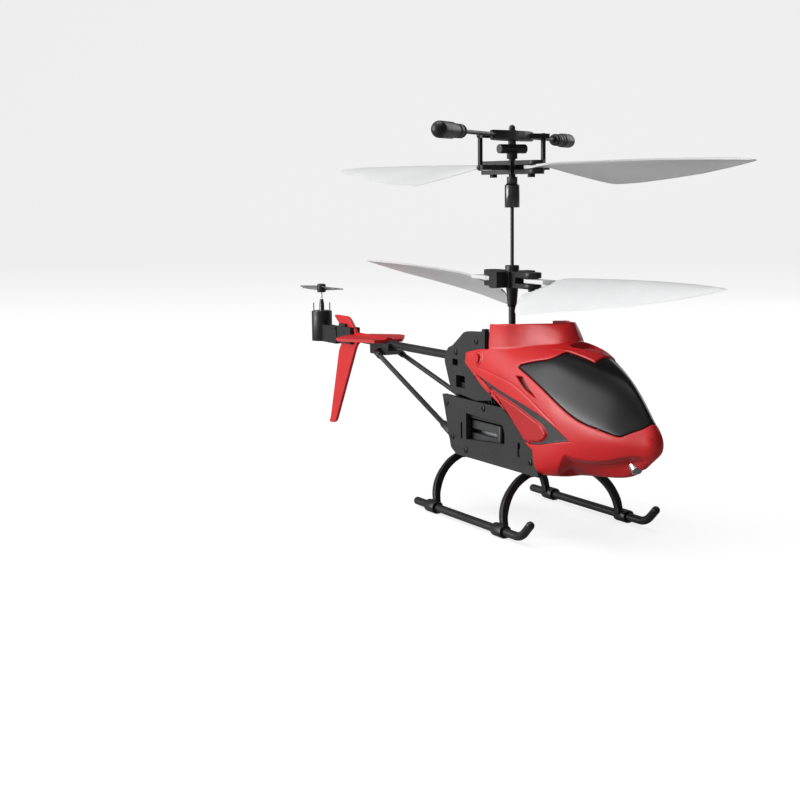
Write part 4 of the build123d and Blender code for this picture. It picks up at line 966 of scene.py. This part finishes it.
# ---------------- tail propeller
HUB = np.array((0, 131.0, 58.2))
pile = Pile()
lathe(rounded([(-1.5, 0.9), (-1.5, 1.5), (1.3, 1.5), (1.5, 1.2), (1.5, 0.35)], 0.15), HUB, UP, 36, pile)
for k in range(6):
    turn = 60 * k + 20
    low, high = HUB + out_at(turn, 1.48, -1.1), HUB + out_at(turn, 1.48, 0.9)
    bar(low, high, out_at(turn, 1, 0), 0.18, 0.10, 0.04, pile)
pile.make("propeller_hub", [BLACK], "tail_rotor", ("tail_propeller",), "black_plastic", 40)
ROOT, TIP, PROP_ROWS = 1.1, 13.0, 22
t = np.linspace(-1, 1, 9)
thick = 0.16 * np.sqrt(np.maximum(0.02, 1 - t ** 2)) + 0.02
pile = Pile()
for turn in (101.0, 281.0):
    out, aside = out_at(turn, 1, 0), out_at(turn, 0, 0, 1)
    verts = []
    for s in np.linspace(0, 1, PROP_ROWS):
        half = 0.95 + 0.85 * math.sin(math.pi * min(1.0, s * 1.15)) ** 0.8 - 1.25 * max(0.0, s - 0.72) / 0.28
        half, rise = max(0.15, half), 0.75 * (1 - s) + 0.06
        mid = [HUB + out * (ROOT + (TIP - ROOT) * s) + aside * (half * q)
               + np.array((0, 0, -rise * q + 0.25 * (1 - q * q))) for q in t]
        lift = [np.array((0, 0, h)) for h in thick]
        verts += [m + h for m, h in zip(mid, lift)] + [m - h for m, h in zip(mid, lift)][::-1]
    pile.add(verts, [f[::-1] for f in tube(PROP_ROWS, 2 * len(t))])
pile.make("propeller_blades", [PROP], "tail_rotor", (), "propeller_grey", 50)

# ---------------- plate screws
PLATE_SCREWS = ((12.2, 46.2), (0.4, 50.3), (17.6, 30.8), (-3.6, 31.6), (14.2, 21.3), (6.4, 18.2),
                (-28.6, 19.8))
pile = Pile()
for hand in (-1, 1):
    for y, z in PLATE_SCREWS:
        screw((hand * 11.7, y, z), (hand, 0, 0), 0.95, 0.35, pile)
        lathe([(0.0, 0.5), (1.45, 0.5)], (hand * 10.25, y, z), (hand, 0, 0), 20, pile)
pile.make("plate_screw_set", [SCREW], "airframe", ("plate_screws",), "dark_screw", 40)

# ---------------- CAD nodes that stay
LOOKS = (
    (BLACK, "gearbox_frame power_switch_knob strut_clamp boom_strut_right boom_strut_left tail_motor_holder "
            "front_arch rear_arch blade_grips flybar_ring flybar_rods pushrod_right pushrod_left lower_hub"),
    (PLATE, "upper_plate_right upper_plate_left lower_plate_right lower_plate_left"),
    (RED, "canopy_pegs stabiliser"), (TRAY, "battery_tray head_post"), (FOIL, "battery"),
    (BOARD, "circuit_board"), (STEEL, "power_switch_body feathering_pin flybar_pin"),
    (STEEL, "front_motor_shaft rear_motor_shaft tail_motor_shaft"),
    (MOTOR, "front_motor rear_motor"), (BRASS, "shaft_bearings front_pinion rear_pinion"),
    (TUBE, "tail_boom skid_tube_right skid_tube_left"), (TAIL_CAN, "tail_motor shaft_collar"),
    (SHAFT, "inner_shaft outer_shaft"), (GEAR, "inner_shaft_gear outer_shaft_gear"),
    (SCREW, "grip_screws lower_hub_screws"))
# edge rounding in mm
SOFTEN = {name: width for width, names in (
    (0.4, "front_arch rear_arch battery"), (0.3, "stabiliser"), (0.2, "flybar_ring"), (0.18, "lower_hub"),
    (0.15, "upper_plate_right upper_plate_left lower_plate_right lower_plate_left"),
    (0.15, "tail_motor_holder canopy_pegs"), (0.14, "blade_grips"), (0.08, "power_switch_knob"),
    (0.12, "gearbox_frame battery_tray shaft_collar strut_clamp"),
    (0.1, "head_post pushrod_right pushrod_left boom_strut_right boom_strut_left tail_motor grip_screws "
          "lower_hub_screws power_switch_body")) for name in names.split()}
for look, names in LOOKS:
    for name in names.split():
        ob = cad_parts[name]
        if not ob.material_slots:
            ob.data.materials.append(look)
        for place in ob.material_slots:
            place.link = "OBJECT"
            place.material = look
        if name not in SOFTEN:
            continue
        weld = ob.modifiers.new("weld", "WELD")
        weld.merge_threshold = 0.002 * MM
        if "plate" in name:
            flat = ob.modifiers.new("flat", "DECIMATE")
            flat.decimate_type, flat.angle_limit = "DISSOLVE", math.radians(0.5)
        round_edges(ob, "edges", SOFTEN[name], 2, 40)

# ---------------- floor, light and camera
# a sheet that runs back from the camera and sweeps up behind the helicopter
ahead, aside = np.array((0.458, 0.889)), np.array((0.889, -0.458))
bend = [(1.6 + math.sin(k), 1.0 - math.cos(k)) for k in np.linspace(0, math.pi / 2, 25)[1:]]
sweep = [(-2.5, 0.0), (1.6, 0.0)] + bend + [(2.6, 3.0)]
verts = [tuple(ahead * d + aside * w) + (z - 0.0001,) for d, z in sweep for w in (-4.0, 4.0)]
me = bpy.data.meshes.new("studio_floor")
me.from_pydata(verts, [], [(2 * i, 2 * i + 1, 2 * i + 3, 2 * i + 2) for i in range(len(sweep) - 1)])
me.polygons.foreach_set("use_smooth", [True] * len(me.polygons))
studio = Nodes("floor_paint")
cloud = studio.noise(3.0, 3.0)
studio.set(studio.shader, "Base Color", studio.mix(cloud, (0.31, 0.31, 0.31), (0.32, 0.32, 0.32)))
ray = studio.add("ShaderNodeLightPath")
seen = studio.ramp(ray.outputs["Is Camera Ray"], 0.0, 1.0, 0.05, 0.76)
studio.set(studio.shader, "Emission Strength", seen)
studio.finish(Roughness=0.9, Specular_IOR_Level=0.1, Emission_Color=(1, 1, 1, 1))
me.materials.append(studio.mat)
floor = bpy.data.objects.new("studio_floor", me)
bpy.context.scene.collection.objects.link(floor)

# the room: pale towards the rear right of the helicopter, dark above its nose
world = bpy.data.worlds.new("studio")
bpy.context.scene.world = world
world.use_nodes = True
wt = world.node_tree
bg = wt.nodes["Background"]
co = wt.nodes.new("ShaderNodeTexCoord")
dot = wt.nodes.new("ShaderNodeVectorMath")
dot.operation = "DOT_PRODUCT"
wt.links.new(co.outputs["Generated"], dot.inputs[0])
dot.inputs[1].default_value = Vector((-0.85, 0.40, -0.05)).normalized()
tone = wt.nodes.new("ShaderNodeMapRange")
for key, value in (("From Min", -0.5), ("From Max", 0.9), ("To Min", 0.10), ("To Max", 0.60)):
    tone.inputs[key].default_value = value
wt.links.new(dot.outputs["Value"], tone.inputs[0])
ray = wt.nodes.new("ShaderNodeLightPath")
pick = wt.nodes.new("ShaderNodeMix")
pick.inputs[3].default_value = 0.93
wt.links.new(ray.outputs["Is Camera Ray"], pick.inputs[0])
wt.links.new(tone.outputs[0], pick.inputs[2])
wt.links.new(pick.outputs[0], bg.inputs[1])
bg.inputs[0].default_value = (1.0, 1.0, 1.0, 1.0)


def soft_light(name, at, to, size, power):
    data = bpy.data.lights.new(name, "AREA")
    data.shape, data.size, data.size_y, data.energy = "RECTANGLE", size[0], size[1], power
    ob = bpy.data.objects.new(name, data)
    bpy.context.scene.collection.objects.link(ob)
    ob.location = at
    ob.rotation_euler = (Vector(to) - Vector(at)).to_track_quat("-Z", "Y").to_euler()


soft_light("key", (-0.80, 0.42, 0.42), (0, -0.03, 0.04), (0.7, 0.6), 5.5)
soft_light("top", (-0.10, 0.05, 1.05), (0, 0, 0.04), (0.9, 0.9), 6.5)
soft_light("flank", (-0.90, 0.32, 0.12), (0, -0.04, 0.03), (0.5, 0.2), 4.0)
soft_light("rim", (0.70, 0.30, 0.35), (0, 0, 0.05), (0.4, 0.5), 1.0)

# the view of the photo: turned by azimuth, elevation and roll
camera = bpy.data.cameras.new("camera")
camera.lens, camera.sensor_width, camera.clip_start, camera.clip_end = 71.59, 36.0, 0.01, 20.0
eye = bpy.data.objects.new("camera", camera)
bpy.context.scene.collection.objects.link(eye)
az, el, roll = math.radians(-27.2603), math.radians(7.6284), math.radians(-0.5595)
back = Vector((math.sin(az) * math.cos(el), -math.cos(az) * math.cos(el), math.sin(el)))
right0 = Vector((math.cos(az), math.sin(az), 0))
up0 = back.cross(right0)
right = math.cos(roll) * right0 + math.sin(roll) * up0
upward = -math.sin(roll) * right0 + math.cos(roll) * up0
m = Matrix((right, upward, back)).transposed().to_4x4()
m.translation = Vector((-0.236396, -0.412738, 0.093773))
eye.matrix_world = m
bpy.context.scene.camera = eye

bpy.context.scene.view_settings.view_transform = "Standard"
